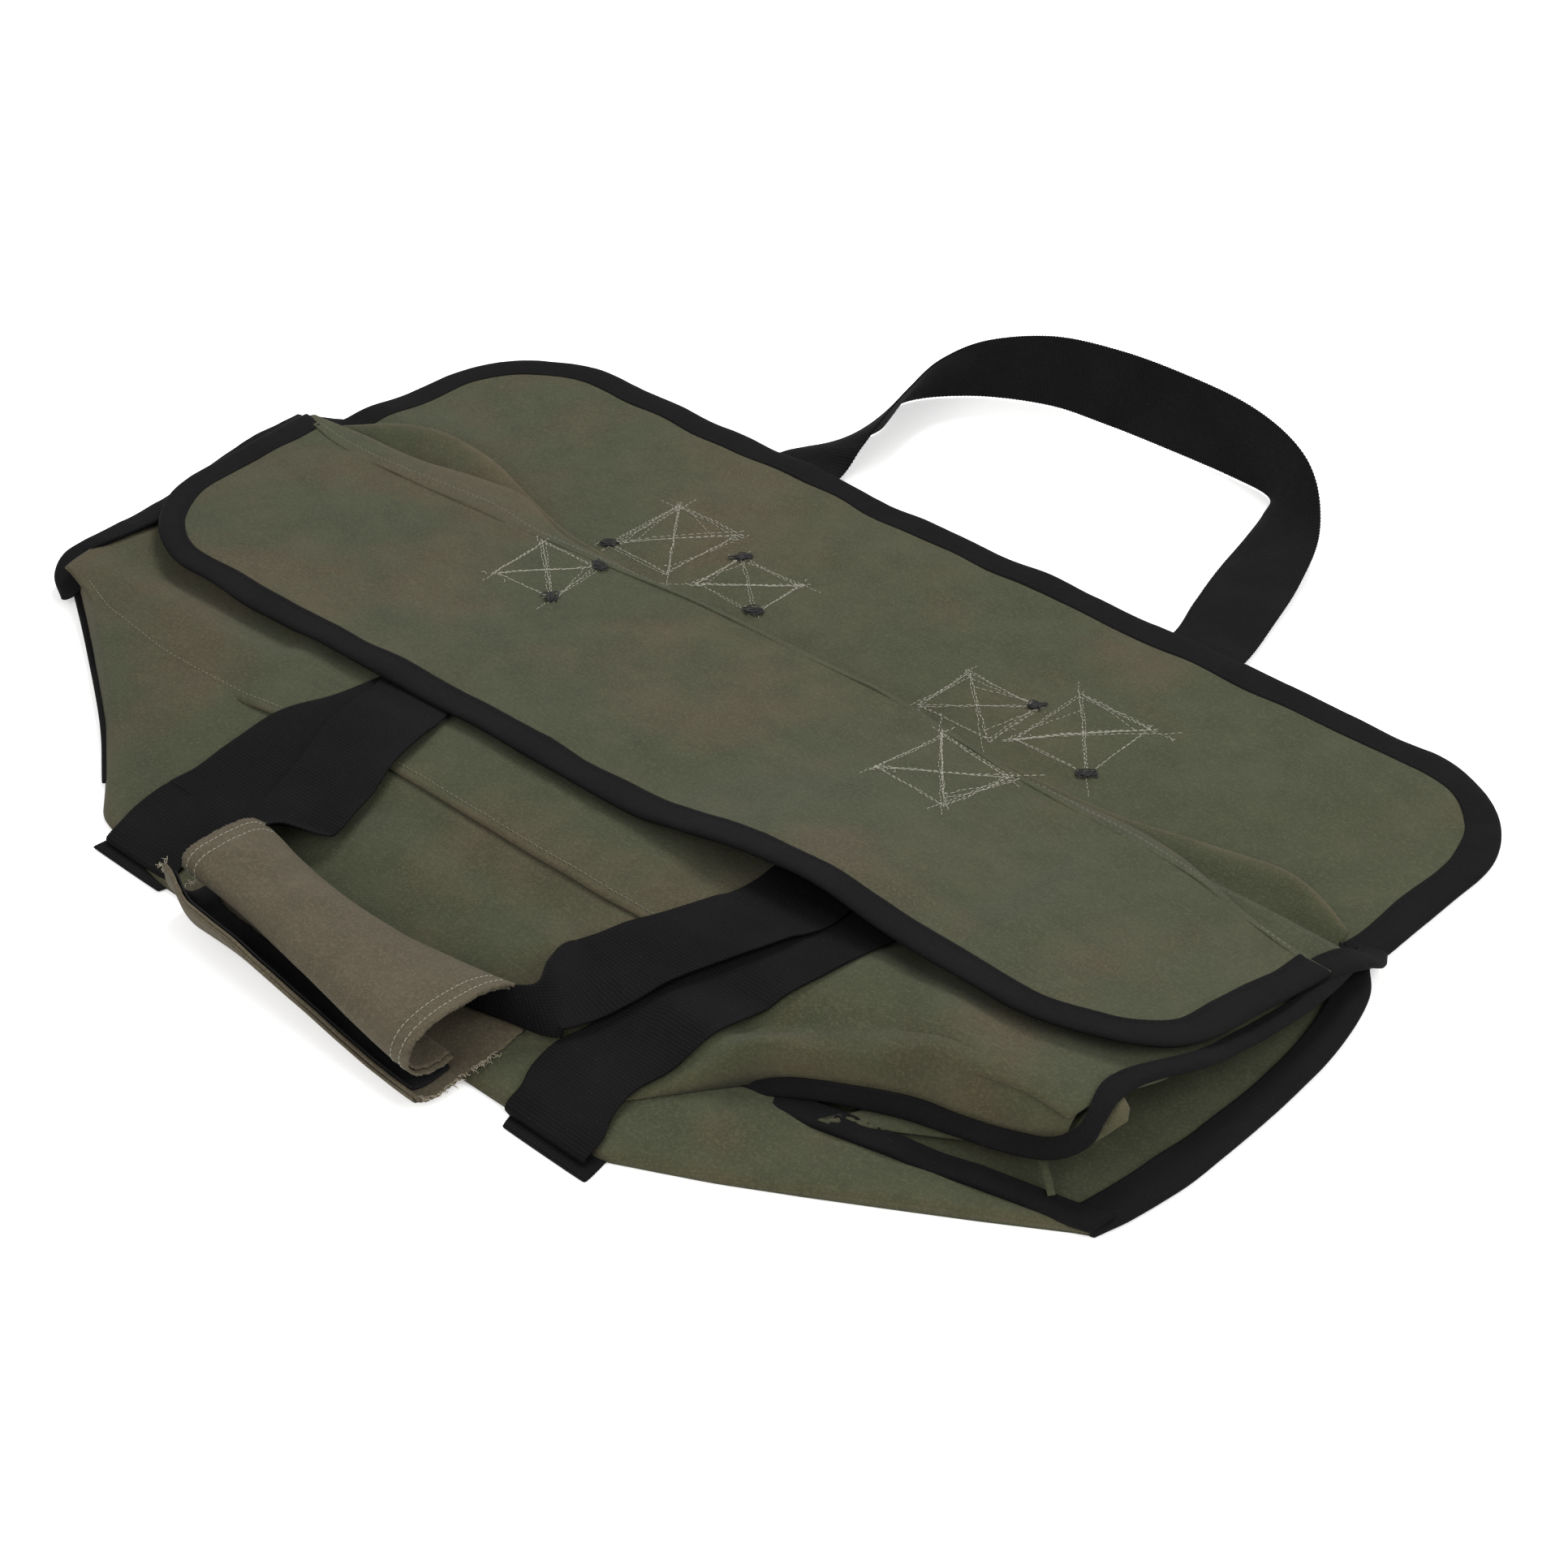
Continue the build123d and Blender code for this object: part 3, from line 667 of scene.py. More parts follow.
def flap_outline(x0, x1, depth, radius, step):
    """Cloth coordinates along the bound edge, with the directions into the cloth."""
    def arc(cx, cy, a0, a1):
        n = int(radius * abs(a1 - a0) / step)
        w = np.linspace(a0, a1, n)
        return np.column_stack([cx + radius * np.cos(w), cy + radius * np.sin(w)])

    out = np.arange(0, depth - radius, step)
    across = np.arange(x0 + radius, x1 - radius, step)[1:]
    path = np.vstack([np.column_stack([0 * out + x0, out]),
                      arc(x0 + radius, depth - radius, math.pi, math.pi / 2),
                      np.column_stack([across, 0 * across + depth]),
                      arc(x1 - radius, depth - radius, math.pi / 2, 0),
                      np.column_stack([0 * out[1:] + x1, out[::-1][:-1]])])
    ahead = unit(np.gradient(path, axis=0))
    return path, np.column_stack([ahead[:, 1], -ahead[:, 0]])


def flap_grid(surface, x0, x1, depth, radius, nu, nv):
    w = np.linspace(-1, 1, nu)
    w = np.sign(w) * (1 - (1 - np.abs(w)) ** 1.35)
    a = (x0 + x1) / 2 + w * (x1 - x0) / 2
    inset = np.clip(np.abs(a - (x0 + x1) / 2) - ((x1 - x0) / 2 - radius), 0, radius)
    reach = depth - radius + np.sqrt(np.clip(radius ** 2 - inset ** 2, 0, None))
    s = np.linspace(0, 1, nv)
    b = reach[:, None] * s[None, :]
    a = a[:, None] + 0 * b
    return surface(a, b), np.stack([a, b], -1)


def flap(prefix, surface, outline, hinge, size, seed, tape_seed):
    """Cloth and bound edge of a flap that has the outline x0, x1, depth and corner radius."""
    grid, uv = flap_grid(surface, *outline, 230, 70)
    worn = 0.25 * np.clip(field(uv[..., 0], uv[..., 1], size, seed), 0, 1)
    sheet_piece(prefix + "_cloth", grid, uv, CANVAS_T, canvas, hinge,
                (prefix + "_panel", prefix + "_root_seam"), worn, CANVAS_T / 2)
    path, inward = flap_outline(*outline, 1.9)
    tape(prefix + "_tape", surface, path, inward, hinge, (prefix + "_binding",), seed=tape_seed)


# A hinge gives the joint's two bodies and a point on each body's side of the joint; a piece given a hinge
# is baked in place.
far_hinge = ("bag", "far_flap", (0, 24, 5), (0, 38, 5))
near_hinge = ("bag", "near_flap", (0, -4, 20), (0, -24, 22))
flap("far_flap", far_surface, (-389, 389, FLAP_D - 1, 76), far_hinge, 90, 46, 61)
flap("near_flap", near_surface, (-388, 391, FLAP_D - 1, 80), near_hinge, 80, 56, 71)

# --------------------------------------------------------------- mouth's lips
LIP = ((-388, -2), (-345, 3), (-300, 6), (-262, 16), (-222, 26), (-187, 15), (-135, 15), (-20, 17),
       (83, 17), (168, 10), (242, 14), (285, 4), (309, -6), (349, -21), (384, -24))
t, s = unit_grid(260, 16)
x = -386 + t * 770 + 0 * s
y0, y1 = curve(x, NEAR_ROOT) - 4, curve(x, LIP)
y = y0 + (y1 - y0) * s
edge_z = curve(x, ((-400, 22), (-300, 21), (-222, 19), (-180, 11), (-60, 9.5), (120, 9.5),
                   (240, 11), (300, 18), (350, 21), (400, 22)))
root_z = near_surface(x, 0 * x)[..., 2] + 1.2
z = root_z + (edge_z - root_z) * smooth(s * 0.9) + 0.8 * field(x, y, 26, 81)
z = z - 8.0 * np.clip(s - 0.9, 0, 1)
near_lip = stack(x, y, z)
bag_cloth("near_lip_cloth", x, y, z, ("near_lip_hem",), 0.9 * np.exp(-(1 - s) * 9) + 0 * x, 2.4)
FAR_LIP = ((-380, 12), (-350, 30), (-320, 42), (-270, 42), (-222, 30), (-180, 20), (0, 14),
           (230, 18), (275, 26), (330, 30), (360, 22), (380, 10))
x = -380 + t * 752 + 0 * s
y0, y1 = 0 * x + 5, curve(x, FAR_LIP)
y = y0 + (y1 - y0) * s
edge_z = curve(x, ((-384, 8), (-355, 17), (-310, 19), (-260, 16), (-200, 9), (-100, 7.5), (200, 7.5),
                   (270, 11), (330, 19), (365, 15), (384, 8)))
z = 6.5 + (edge_z - 6.5) * smooth(s) + 0.6 * field(x, y, 30, 83)
bag_cloth("far_lip_cloth", x, y, z, ("far_lip_hem",), 0.8 * np.exp(-(1 - s) * 9) + 0 * x, 2.2)


# ------------------------------------------------------------ straps, handles
def band_points(pairs, step=0.85):
    p = spline([tuple(a) + tuple(b) for a, b in pairs], step)
    left, right = p[:, :3], p[:, 3:]
    mid, half = (left + right) / 2, (right - left) / 2
    width = np.linalg.norm(half, axis=1, keepdims=True)
    reach = half / width * np.minimum(width, WEB_W / 2 + 1.5)
    return mid - reach, mid + reach


def strap(name, rows, end_x, nodes):
    """Body strap: over the bag, round the fold and back underneath to end_x."""
    pairs = [((x0, y, float(top(x0, y)) + 2.4), (x1, y, float(top(x1, y)) + 2.4))
             for y, x0, x1 in rows]
    _, x0, x1 = rows[-1]
    pairs += [((x0 + 1, -340, 6.0), (x1, -340, 6.0)), ((x0 + 2, -343.6, 4.4), (x1, -343.6, 4.4)),
              ((x0 + 3, -344.0, 2.6), (x1, -344.0, 2.6)), ((x0 + 4, -341, 1.0), (x1, -341, 1.0)),
              ((x0 + 2, -320, 0.95), (x1 + 2, -320, 0.95)),
              ((end_x - 25, 4, 0.95), (end_x + 25, 4, 0.95))]
    left, right = band_points(pairs)
    web(name, left, right, webbing, "bag", nodes, serrate=0.3,
        rest=lambda x, y: top(x, y) + 2.3)


strap("body_strap_left_web", ((-10, -118, -68), (-60, -118, -68), (-120, -118, -68),
                              (-180, -119, -68), (-206, -124, -72), (-232, -137, -84),
                              (-258, -141, -89), (-285, -142, -87), (-306, -146, -90),
                              (-322, -147, -90), (-333, -144, -87)), -70, ("body_strap_left",))
strap("body_strap_right_web", ((-10, 190, 240), (-60, 190, 240), (-120, 188, 238),
                               (-180, 186, 236), (-206, 180, 231), (-235, 170, 221),
                               (-262, 161, 213), (-285, 157, 208), (-303, 151, 202),
                               (-319, 152, 204), (-332, 157, 211)), 108, ("body_strap_right",))

# Far handle: sewn under the far flap, standing on its edge beyond it, its right leg nearly
# flat. Each pair is a point of the band's left edge and one of its right edge.
far_pairs = [((-165, 40, 1.4), (-115, 40, 1.4)), ((-165, 96, 1.4), (-115, 96, 1.4)),
             ((-166, 150, 1.4), (-116, 150, 1.4)), ((-166, 184, 1.6), (-116, 186, 3)),
             ((-160, 203, 1.2), (-113, 203, 19)), ((-147, 225, 1.0), (-110, 222, 35)),
             ((-141, 252, 0.9), (-113, 248, 43)), ((-154, 290, 0.9), (-124, 290, 42)),
             ((-128, 327, 0.9), (-113, 322, 47)), ((-84, 351, 0.9), (-83, 350, 50)),
             ((-40, 356, 0.9), (-44, 363, 50)), ((4, 357, 0.9), (2, 366, 50)),
             ((56, 356, 0.9), (58, 361, 50)), ((88, 351, 0.9), (104, 345, 48)),
             ((98, 332, 0.9), (131, 332, 36)), ((107, 300, 0.9), (152, 308, 18)),
             ((117, 258, 0.9), (166, 270, 8)), ((128, 221, 1.0), (177, 231, 5)),
             ((139, 186, 1.4), (188, 187, 4)), ((138, 150, 1.4), (188, 150, 1.4)),
             ((138, 96, 1.4), (188, 96, 1.4)), ((138, 40, 1.4), (188, 40, 1.4))]
left, right = band_points(far_pairs)
web("far_handle_web", left, right, webbing, ("far_flap", "far_handle", (0, 180, 2), (0, 198, 2)),
    ("far_handle_webbing", "far_handle_left_foot", "far_handle_left_tail",
                "far_handle_right_foot", "far_handle_right_tail"), serrate=0.55, pitch=2.0)


# Near handle: under the near flap, over the wall, on edge through the grip.
def lying(x0, x1, y, lift=3.6):
    return ((x0, y, float(top(x0, y)) + lift), (x1, y, float(top(x1, y)) + lift))


def near_rest(x, y):
    """Height of what the near handle lies on: the wall, then its seam and strap."""
    return top(x, y) + 3.6 + 1.3 * smooth((-y - 60) / 70) + 2.6 * smooth((-y - 188) / 16)


near_pairs = [lying(-167, -117, -20, 3), lying(-156, -106, -60, 3), lying(-136, -86, -120, 3),
              lying(-116, -62, -176), lying(-110, -52, -200, 4.4), lying(-105, -46, -228, 4.6),
              lying(-95, -38, -256, 4.2), ((-88, -280, 18), (-36, -280, 24)),
              ((-84, -298, 14), (-56, -296, 31)), ((-68, -308, 13.5), (-56, -310, 31)),
              ((-30, -316, 13.5), (-26, -319, 29)), ((30, -323, 13.5), (31, -326, 29)),
              ((90, -317, 13.5), (88, -319, 31)), ((122, -310, 13.5), (116, -311, 34)),
              ((147, -303, 13.5), (134, -300, 36)),
              ((158, -290, 15), (124, -282, 34)), ((167, -272, 21), (119, -266, 32)),
              lying(126, 176, -252, 5)[::-1], lying(141, 190, -228, 6)[::-1],
              lying(155, 204, -200, 6)[::-1], lying(158, 209, -176, 5)[::-1],
              lying(146, 196, -120, 3)[::-1], lying(134, 184, -60, 3)[::-1],
              lying(125, 175, -20, 3)[::-1]]
left, right = band_points(near_pairs)
web("near_handle_web", left, right, webbing,
    ("near_flap", "near_handle", (0, -184, 44), (0, -200, 44)),
    ("near_handle_webbing", "near_handle_left_tail", "near_handle_right_tail"), serrate=0.4,
    rest=near_rest)

# ------------------------------------------------------------------------ grip
GRIP_X0, GRIP_X1 = -64.0, 127.0
WAIST = 12.0
LEAF_ROWS, LEAF_COLUMNS = 120, 90


def leaf(left, right, x0, x1, waist, seed, nose=0.0):
    """Grid of a folded leaf between its left and right sections, with a waist between."""
    u, s = np.linspace(0, 1, LEAF_ROWS), np.linspace(0, 1, LEAF_COLUMNS)
    at = [between(s, even(q), q) for q in (spline(left, 0.5), spline(right, 0.5))]
    w = smooth(u)[:, None, None] * 0.6 + u[:, None, None] * 0.4
    yz = at[0][None] * (1 - w) + at[1][None] * w
    mid = yz.mean(1, keepdims=True)
    pinch = np.sin(np.pi * u)[:, None, None] * np.array([0.0, waist * 2.2])
    yz = yz - (yz - mid) * pinch - np.array([0, 1.0]) * np.sin(np.pi * u)[:, None, None] * waist * 9
    yz[..., 0] -= WAIST * np.sin(np.pi * u)[:, None] * smooth((yz[..., 0] + 352) / 45)
    push = nose * smooth(u / 0.16) * (1 - u)
    yz[..., 0] -= push[:, None] * smooth((-305 - yz[..., 0]) / 45)
    run = run_along(at[1])
    x = x0 + (x1 - x0) * u[:, None] + 0 * run[None, :]
    fray = 0.7 * field(run * 3, run, 2.2, seed) + 0.5 * field(run * 9, run, 1.3, seed + 1)
    x[0] += fray
    x[-1] -= fray[::-1]
    r = run[None, :] + 0 * x
    grid = stack(x, yz[..., 0] + 0.5 * field(x, r, 22, seed + 2),
                 yz[..., 1] + 0.5 * field(x, r, 17, seed + 3))
    return grid, np.stack([x, r], -1), normals(grid)


def leaf_piece(name, parts, thick, body, nodes=()):
    grid, uv, up = parts
    solid_piece(name, grid, grid - up * thick, uv, khaki, body, nodes)


LOWER_L = ((-299, 22), (-299.5, 17), (-304, 12.5), (-313, 10.2), (-324, 9.2), (-334, 8.6), (-345, 9.5),
           (-351, 14), (-354, 21), (-355, 30))
LOWER_R = ((-303, 29), (-302, 22), (-303.5, 15), (-309, 10.8), (-322, 9.2), (-342, 8.0), (-356, 7.0),
           (-364, 7.6), (-369.5, 9.5), (-371, 12.0))
UPPER_L = ((-341, 23.0), (-346, 24.0), (-350, 27.0), (-351.5, 31), (-350, 36), (-343, 39), (-331, 40),
           (-318, 38.8), (-307, 35.5), (-300, 29))
UPPER_R = ((-346, 14.8), (-357, 14.6), (-367, 18.5), (-372.5, 26), (-371.5, 34), (-365, 40.5),
           (-352, 44), (-336, 44), (-321, 41.8), (-310, 38.5), (-303.5, 34))
# A lining is shorter at both ends than the leaf that it lies in.
shorten = np.linspace(1, -1, LEAF_ROWS)[:, None, None]
lower = leaf(LOWER_L, LOWER_R, GRIP_X0 - 8, GRIP_X1 + 5, 0.0, 91, 10.0)
lower_grid, lower_uv, lower_up = lower
inside = np.sign(lower_up[60, 50, 2])
under = lower_grid - lower_up * inside * 2.1 + stack(2.5, 0, 0) * shorten
leaf_piece("grip_lower_lining", (under[:, 22:], lower_uv[:, 22:], lower_up[:, 22:]), inside * 1.2,
           "near_handle")
leaf_piece("grip_lower_cloth", lower, -1.8, "near_handle", ("grip_lower_leaf",))
upper = leaf(UPPER_L, UPPER_R, GRIP_X0, GRIP_X1, 0.06, 95)
upper_grid, upper_uv, upper_up = upper
leaf_piece("grip_upper_cloth", upper, 1.5, "grip_cover", ("grip_upper_leaf",))
# A second turn of the wrap inside the first, so its ends show two layers.
inner = (upper_grid - upper_up * 2.2 + stack(2.0, 0, 0) * shorten, upper_uv, upper_up)
leaf_piece("grip_upper_lining", inner, 1.4, "grip_cover")

# ------------------------------------------------------------------------ end seams, end panels
def end_gusset(name, back, fold, front, node, seed):
    """End panel hung between its back seam and front seam, its middle folded inward."""
    s = np.linspace(0, 1, 70)
    rails = [between(s, even(r), np.array(r, float)) for r in (back, fold, front)]
    v = np.linspace(-1, 1, 71)[None, :, None]
    rim = np.where(v < 0, rails[0][:, None], rails[2][:, None])
    w = np.abs(v) ** 0.85
    grid = rails[1][:, None] + (rim - rails[1][:, None]) * w
    bulge = np.sin(np.pi * w[..., 0]) * (0.6 + 0.4 * np.sin(np.pi * s)[:, None])
    grid[..., 2] += bulge * np.where(v[..., 0] < 0, -1.5, -3.0)
    grid[..., 2] += 1.6 * rolls(grid[..., 0], grid[..., 1], 34, seed) * bulge
    uv = np.stack([v[..., 0] * 115 + 0 * grid[..., 0], s[:, None] * 225 + 0 * grid[..., 0]], -1)
    up = normals(grid)
    solid_piece(name, grid + up * 0.5, grid - up * 0.6, uv, canvas, "bag", (node,))


R_BACK = ((392, -4, 9), (399, -30, 7), (403, -60, 5.5), (405, -100, 4.6), (405, -150, 4), (402, -200, 3.6),
          (400, -226, 3.4))
R_FOLD = ((346, -4, 15), (338, -40, 14), (326, -90, 14), (312, -140, 13), (298, -190, 11), (284, -232, 9),
          (272, -257, 8.5))
R_FRONT = ((388, -8, 20), (389, -50, 21), (388, -95, 25), (385, -130, 29), (376, -160, 34), (373, -186, 36),
           (374, -203, 30), (352, -214, 15))
end_gusset("right_end_cloth", R_BACK, R_FOLD, R_FRONT, "right_end_panel", 101)
end_seam = spline(((364, -212, 15), (371, -217, 12.5), (380, -224, 9.5)), 0.9)
half_seam = 1.8 * unit(np.array([[0.6, 0.75, 0.1]]))
web("right_end_seam", end_seam - half_seam, end_seam + half_seam, canvas, "bag",
    thick=1.4, columns=5, serrate=0.0)
L_BACK = ((-385, -4, 4), (-385, -40, 4), (-383, -90, 3.6), (-374, -140, 3.4), (-362, -190, 3.2),
          (-345, -213, 3.0))
L_FOLD = ((-330, -4, 13), (-318, -60, 13), (-305, -120, 12), (-290, -180, 10), (-285, -228, 8))
L_FRONT = ((-385, -6, 17), (-380, -40, 18), (-368, -90, 19), (-351, -150, 19), (-351, -190, 18),
           (-350, -210, 14))
end_gusset("left_end_cloth", L_BACK, L_FOLD, L_FRONT, "left_end_panel", 105)


def seam_tape(name, points, side, nodes=(), wide=TAPE_W, half=1.6, seed=1):
    """Binding along a free line in space; side points from its outer edge into the bag."""
    p = spline(points, 1.9)
    side = np.atleast_2d(np.array(side, float))
    sides = unit(between(even(p), even(side), side))
    run = run_along(p)

    def surface(a, b):
        waver = 1.2 * field(a, b, 21, seed + 7)[..., None] * np.array([0, 0, 1.0])
        return between(a, run, p) + between(a, run, sides) * np.asarray(b)[..., None] + waver

    tape(name, surface, np.column_stack([run, 0 * run]), np.column_stack([0 * run, 0 * run + 1]),
         "bag", nodes, half=half, wide=wide, seed=seed)


seam_tape("right_back_tape", ((404, -225, 2.6), (410, -204, 3.0), (415, -165, 3.6), (416, -100, 4.4),
                              (413, -54, 6.5), (405, -18, 10), (394, -2, 15)),
          ((-1, -0.1, 0.14), (-1, 0.1, 0.12), (-1, 0.1, 0.1)), ("right_back_binding",), seed=111)
seam_tape("right_front_tape", ((395, -12, 21), (398, -50, 23), (396, -95, 27), (394, -124, 31),
                               (388, -147, 35), (382, -166, 38.5), (382, -182, 39.5), (385, -196, 37),
                               (386, -206, 31.5), (378, -215, 24.5), (359, -221, 18.2), (329, -228, 14.8),
                               (304, -233, 12.8), (283, -240, 11), (262, -249, 9.2), (244, -259, 7),
                               (228, -270, 2.5)),
          ((-1, 0, 0.05), (-1, 0, 0.08), (-1, 0, 0.12), (-1, -0.1, 0.2), (-0.8, 0.4, 0.45),
           (-0.1, 0.6, 0.8), (0.05, 0.5, 0.85), (0.05, 0.7, 0.7)), ("right_front_binding",),
          wide=9.8, seed=115)
# Scrap of canvas that looks out beyond the front tape.
t, s = unit_grid(22, 18)
root = between(t[:, 0], (0, 0.5, 1), np.array([(380, -178, 38), (380, -190, 36.5), (382, -203, 30)]))
tip = between(t[:, 0], (0, 0.5, 1),
              np.array([(387, -181, 35.5), (390, -186, 33.2), (384, -204, 28.5)]))
tab = root[:, None] + (tip - root)[:, None] * s[..., None]
tab[..., 2] += 1.0 * np.sin(np.pi * s) + 0.3 * field(tab[..., 0], tab[..., 1], 6, 141)
sheet_piece("right_corner_tab", tab, tab[..., :2], 1.0, canvas, "bag", (),
            0.5 + 0 * t * s, 0.8)
seam_tape("right_base_tape_low", ((234, -272, 1.6), (252, -263, 5.0), (272, -259, 6.5),
                                  (300, -253, 6.5), (350, -240, 6.0), (404, -226, 4.6)),
          ((0.1, 1, 0.2), (0.2, 1, 0.1)), ("right_base_binding",), wide=12.5, seed=119)
seam_tape("left_back_tape", ((-394, -2, 4), (-396, -60, 3), (-388, -120, 2.6), (-362, -188, 2.6)),
          (1, 0, 0), ("left_back_binding",), seed=127)
seam_tape("left_front_tape", ((-399, -6, 17), (-396, -45, 17), (-383, -95, 19.5), (-368, -138, 21),
                              (-366, -165, 22), (-368, -188, 20), (-371, -202, 14.5), (-363, -215, 9),
                              (-346, -223, 5.5)),
          ((1, 0, 0.15), (1, 0, 0.12), (1, 0, 0.12), (1, 0.2, 0.2), (0.6, 0.8, 0.4)),
          ("left_front_binding",), wide=17, seed=131)
seam_tape("left_base_tape", ((-366, -206, 8), (-342, -218, 6), (-292, -246, 4.5), (-228, -284, 4),
                             (-184, -315, 3.5)),
          (0.45, 1, 0.1), ("left_base_binding",), wide=6, half=1.0, seed=135)
seam_tape("right_mouth_tape", ((391, -44, 23), (395, -22, 23), (398, -6, 19), (398, 6, 11),
                               (392, 18, 6)),
          ((-1, 0, 0.1), (-1, 0, 0.1), (-1, -0.2, 0)), wide=15, seed=139)
seam_tape("left_mouth_tape", ((-391, -28, 20), (-395, -8, 19), (-396, 6, 13), (-391, 22, 6)),
          ((1, 0, 0.1), (1, 0, 0.1), (1, -0.2, 0)), wide=15, seed=143)


# ------------------------------------------------------------------- stitching
def dashes(points, length, space, jitter, seed, lift=0.25):
    """Single stitches along a line of points on a surface."""
    rng = np.random.RandomState(seed)
    p = np.array(points, float)
    run = run_along(p)
    out, at = [], 0.3
    while at + length < run[-1]:
        span = length * rng.uniform(0.85, 1.15)
        q = between(np.linspace(at, at + span, 5), run, p)
        q[:, :2] += rng.uniform(-jitter, jitter, (1, 2))
        q[:, 2] += lift * np.array([-1.2, 0.55, 1.0, 0.55, -1.2])
        out.append(q)
        at += span + space
    return out


FULL_TURN = 6.28


def box_cross(name, surface, corners, body, nodes, seed, knots=()):
    """Box-and-cross stitching seen from its loose bobbin side."""
    rng = np.random.RandomState(seed)
    c = [np.array(p, float) for p in corners]
    lines = []
    for turn, (off, over) in enumerate(((0.5, 0.03), (2.0, 0.10), (3.2, 0.34))):
        for a, b in ((0, 1), (1, 2), (2, 3), (3, 0), (0, 2), (1, 3)):
            if turn == 2 and rng.rand() < 0.3:
                continue
            p, q = c[a] + rng.uniform(-off, off, 2), c[b] + rng.uniform(-off, off, 2)
            lines.append((p - (q - p) * rng.uniform(0, over), q + (q - p) * rng.uniform(0, over)))
    for _ in range(4):
        a, b = rng.choice(4, 2, replace=False)
        k, m = rng.uniform(0.1, 0.5, 2)
        centre = (c[0] + c[2]) / 2
        lines.append((c[a] + (centre - c[a]) * k, c[b] + (c[b] - centre) * m * 0.5))
    runs = []
    for k, (p, q) in enumerate(lines):
        n = max(int(np.linalg.norm(q - p) / 1.2), 3)
        t = np.linspace(0, 1, n)[:, None]
        w = p + (q - p) * t
        w = w + 0.6 * np.column_stack([field(w[:, 0], w[:, 1] + k * 9, 5, seed + 1),
                                       field(w[:, 0] + 50, w[:, 1] + k * 9, 5, seed + 2)])
        pts = surface(w[:, 0], w[:, 1])
        pts[:, 2] += CANVAS_T / 2 + 0.1
        runs += dashes(pts, rng.uniform(2.2, 3.4), rng.uniform(0.4, 1.3), 0.22, seed + k, 0.2)
    for _ in range(12):
        p = c[rng.randint(4)] + rng.normal(0, 4.5, 2)
        w, r = rng.uniform(0, 2 * math.pi), rng.uniform(0.5, 1.5)
        t = np.linspace(0, rng.uniform(1.5, 3.5), 7)
        loop = p + r * np.column_stack([np.cos(t + w) + t * 0.5, np.sin(t * 1.1 + w)])
        pts = surface(loop[:, 0], loop[:, 1])
        pts[:, 2] += CANVAS_T / 2 + 0.25 + 0.3 * np.sin(t)
        runs.append(pts)
    stitches(name, runs, pale_thread, body, nodes, 0.23)
    black = []
    for k in knots:
        p = c[k]
        for _ in range(7):
            t = np.linspace(0, rng.uniform(5, 11), 22)
            r, w = rng.uniform(1.2, 4.6), rng.uniform(0, FULL_TURN)
            loop = p + rng.normal(0, 1.3, 2) + r * np.column_stack(
                [np.cos(t + w) * (1 - t / 16) * 1.3, np.sin(1.3 * t + w)])
            pts = surface(loop[:, 0], loop[:, 1])
            pts[:, 2] += CANVAS_T / 2 + 0.6 + 1.3 * np.abs(np.sin(t * 1.7))
            black.append(pts)
    if black:
        stitches(name + "_knots", black, black_thread, body, (), 0.33)


def square(cx, cy, wide, deep, skew=0.0):
    """Corners of a box: root left, root right, outer right, outer left."""
    w, d = wide / 2, deep / 2
    return ((cx - w + skew, cy - d), (cx + w + skew, cy - d), (cx + w - skew, cy + d),
            (cx - w - skew, cy + d))


# Number, middle, width, depth and skew of each box, its seed, and the corners with knots.
for number, box, seed, knots in ((1, (-137, 63, 48, 58), 201, (0,)), (2, (-70, 57, 46, 38), 202, (1, 3)),
                                 (3, (108, 52, 48, 42), 203, (2,)), (4, (167, 68, 48, 56), 204, (1,))):
    box_cross(f"far_box_{number}", far_surface, square(*box), far_hinge,
              (f"far_x_stitch_{number}",), seed, knots)
for number, box, seed, knots in ((1, (-143, 31, 44, 48, -4), 205, (1, 2)),
                                 (2, (154, 34, 50, 54), 206, ())):
    box_cross(f"near_box_{number}", near_surface, square(*box), near_hinge,
              (f"near_x_stitch_{number}",), seed, knots)

# Topstitching: wall-to-base seam, near lip hem, grip rows.
seam_x = np.linspace(-330, 186, 300)
seam_y = line_y(seam_x, SEAM) + 5.5
seam_z = top(seam_x, seam_y) + 1.3 - 1.6 * smooth((-150 - seam_x) / 30)
stitches("wall_seam_thread", dashes(stack(seam_x, seam_y, seam_z), 2.6, 0.9, 0.08, 211),
         seam_thread, "bag", ("wall_base_stitching",), 0.26)
stitches("near_lip_thread", dashes(near_lip[:, 5], 2.6, 0.9, 0.1, 213), seam_thread, "bag",
         ("near_lip_stitching",), 0.27)
last_row = LEAF_ROWS - 1
for name, leftmost in (("grip_left", True), ("grip_right", False)):
    runs = []
    for inset in (5.5, 11.5):
        k = int(round(inset / ((GRIP_X1 - GRIP_X0) / last_row)))
        row = k if leftmost else last_row - k
        line = upper_grid[row, 8:-2] + upper_up[row, 8:-2] * 0.1
        runs += dashes(line, 2.4, 0.7, 0.05, 217 + k, 0.2)
    stitches(name + "_thread", runs, pale_thread, "grip_cover", (name + "_stitching",), 0.24)

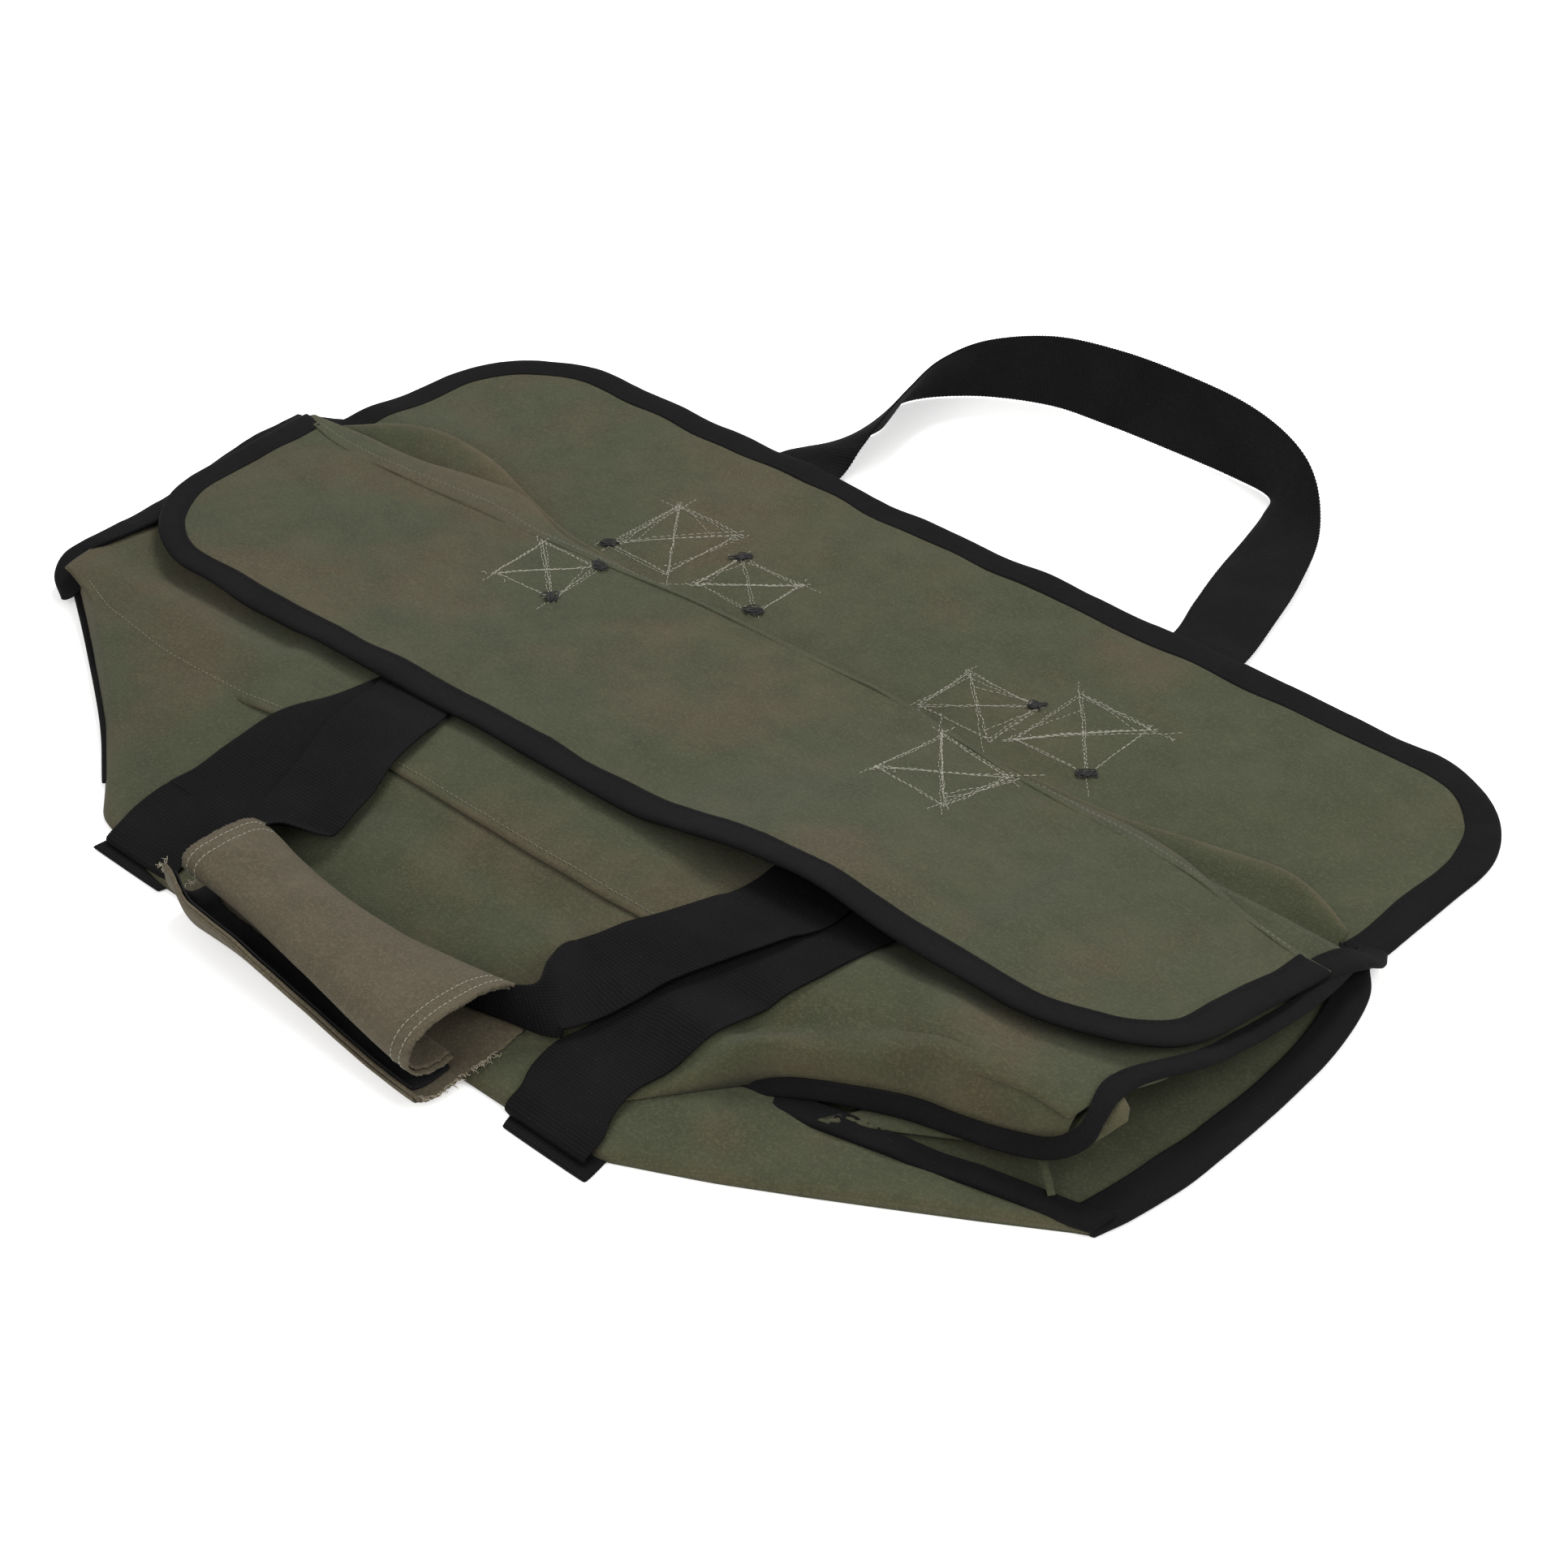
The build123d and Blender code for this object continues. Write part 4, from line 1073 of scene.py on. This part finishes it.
# Hook strip inside the lower leaf, and the grip's frayed ends.
row = np.arange(4, 116)[:, None]
first = 47 + 14 * row / last_row
column = np.round(first + (88 - first) * np.linspace(0, 1, 26)[None, :]).astype(int)
hook = lower_grid[row, column] + lower_up[row, column] * np.sign(lower_up[60, 70, 2]) * 1.1
sheet_piece("grip_hook_cloth", hook, lower_uv[row, column], 1.0, hooks, "near_handle",
            ("grip_hook_strip",), None, 0.9)
rng = np.random.RandomState(301)
frays = []
for row, sign in ((0, -1), (-1, 1)):
    for _ in range(46):
        end, yy, zz = lower_grid[row, rng.randint(40, LEAF_COLUMNS)]
        t = np.linspace(0, 1, 7)[:, None]
        d = np.array([sign * rng.uniform(1.5, 5.0), rng.normal(0, 1.6), rng.uniform(-0.4, 1.8)])
        curl = rng.normal(0, 0.8, (7, 3)) * t
        frays.append(np.array([end - sign * 0.6, yy, zz]) + d * t + curl * [0.6, 1, 0.5])
stitches("grip_frays", frays, thread_material("thread_fray", (0.30, 0.26, 0.19), 0.9),
         "near_handle", (), 0.16)


# ----------------------------------------------------------- floor, light, camera
bpy.ops.mesh.primitive_plane_add(size=9.0, location=(0, 0, -0.0005))
floor = bpy.context.object
floor.name = "floor"
mat, bsdf = node_kit("floor_pale")[:2]
bsdf.inputs["Base Color"].default_value = (0.86, 0.86, 0.85, 1)
bsdf.inputs["Roughness"].default_value = 0.9
bsdf.inputs["Emission Color"].default_value = (1, 1, 1, 1)
bsdf.inputs["Emission Strength"].default_value = 0.35
floor.data.materials.append(mat)

world = bpy.data.worlds.new("studio")
world.use_nodes = True
sky = world.node_tree.nodes["Background"]
sky.inputs["Color"].default_value = (1.0, 1.0, 1.0, 1)
sky.inputs["Strength"].default_value = 0.55
bpy.context.scene.world = world


def area(name, place, size, power):
    """Round light in metres and watts, turned to the origin."""
    data = bpy.data.lights.new(name, "AREA")
    data.shape, data.size, data.energy = "DISK", size, power
    obj = bpy.data.objects.new(name, data)
    bpy.context.scene.collection.objects.link(obj)
    d = -np.array(place, float)
    yaw, pitch = math.atan2(d[1], d[0]), math.atan2(math.hypot(d[0], d[1]), -d[2])
    obj.location = place
    obj.rotation_euler = (pitch, 0, yaw - math.pi / 2)


area("key", (-0.5, 1.3, 1.9), 1.0, 43)
area("fill", (1.6, 0.2, 1.4), 1.6, 26)
area("front", (0.4, -2.0, 1.6), 1.8, 34)

cam = bpy.data.cameras.new("camera")
cam.lens, cam.sensor_width = 67.3, 36.0
cam.clip_start, cam.clip_end = 0.05, 30
view = bpy.data.objects.new("camera", cam)
bpy.context.scene.collection.objects.link(view)
view.location = (0.9314, -0.9861 + MOUTH / 1000, 0.9001)
view.rotation_euler = (math.radians(90 - 35.67), 0, math.radians(43.01))
bpy.context.scene.camera = view
bpy.context.scene.view_settings.view_transform = "Standard"
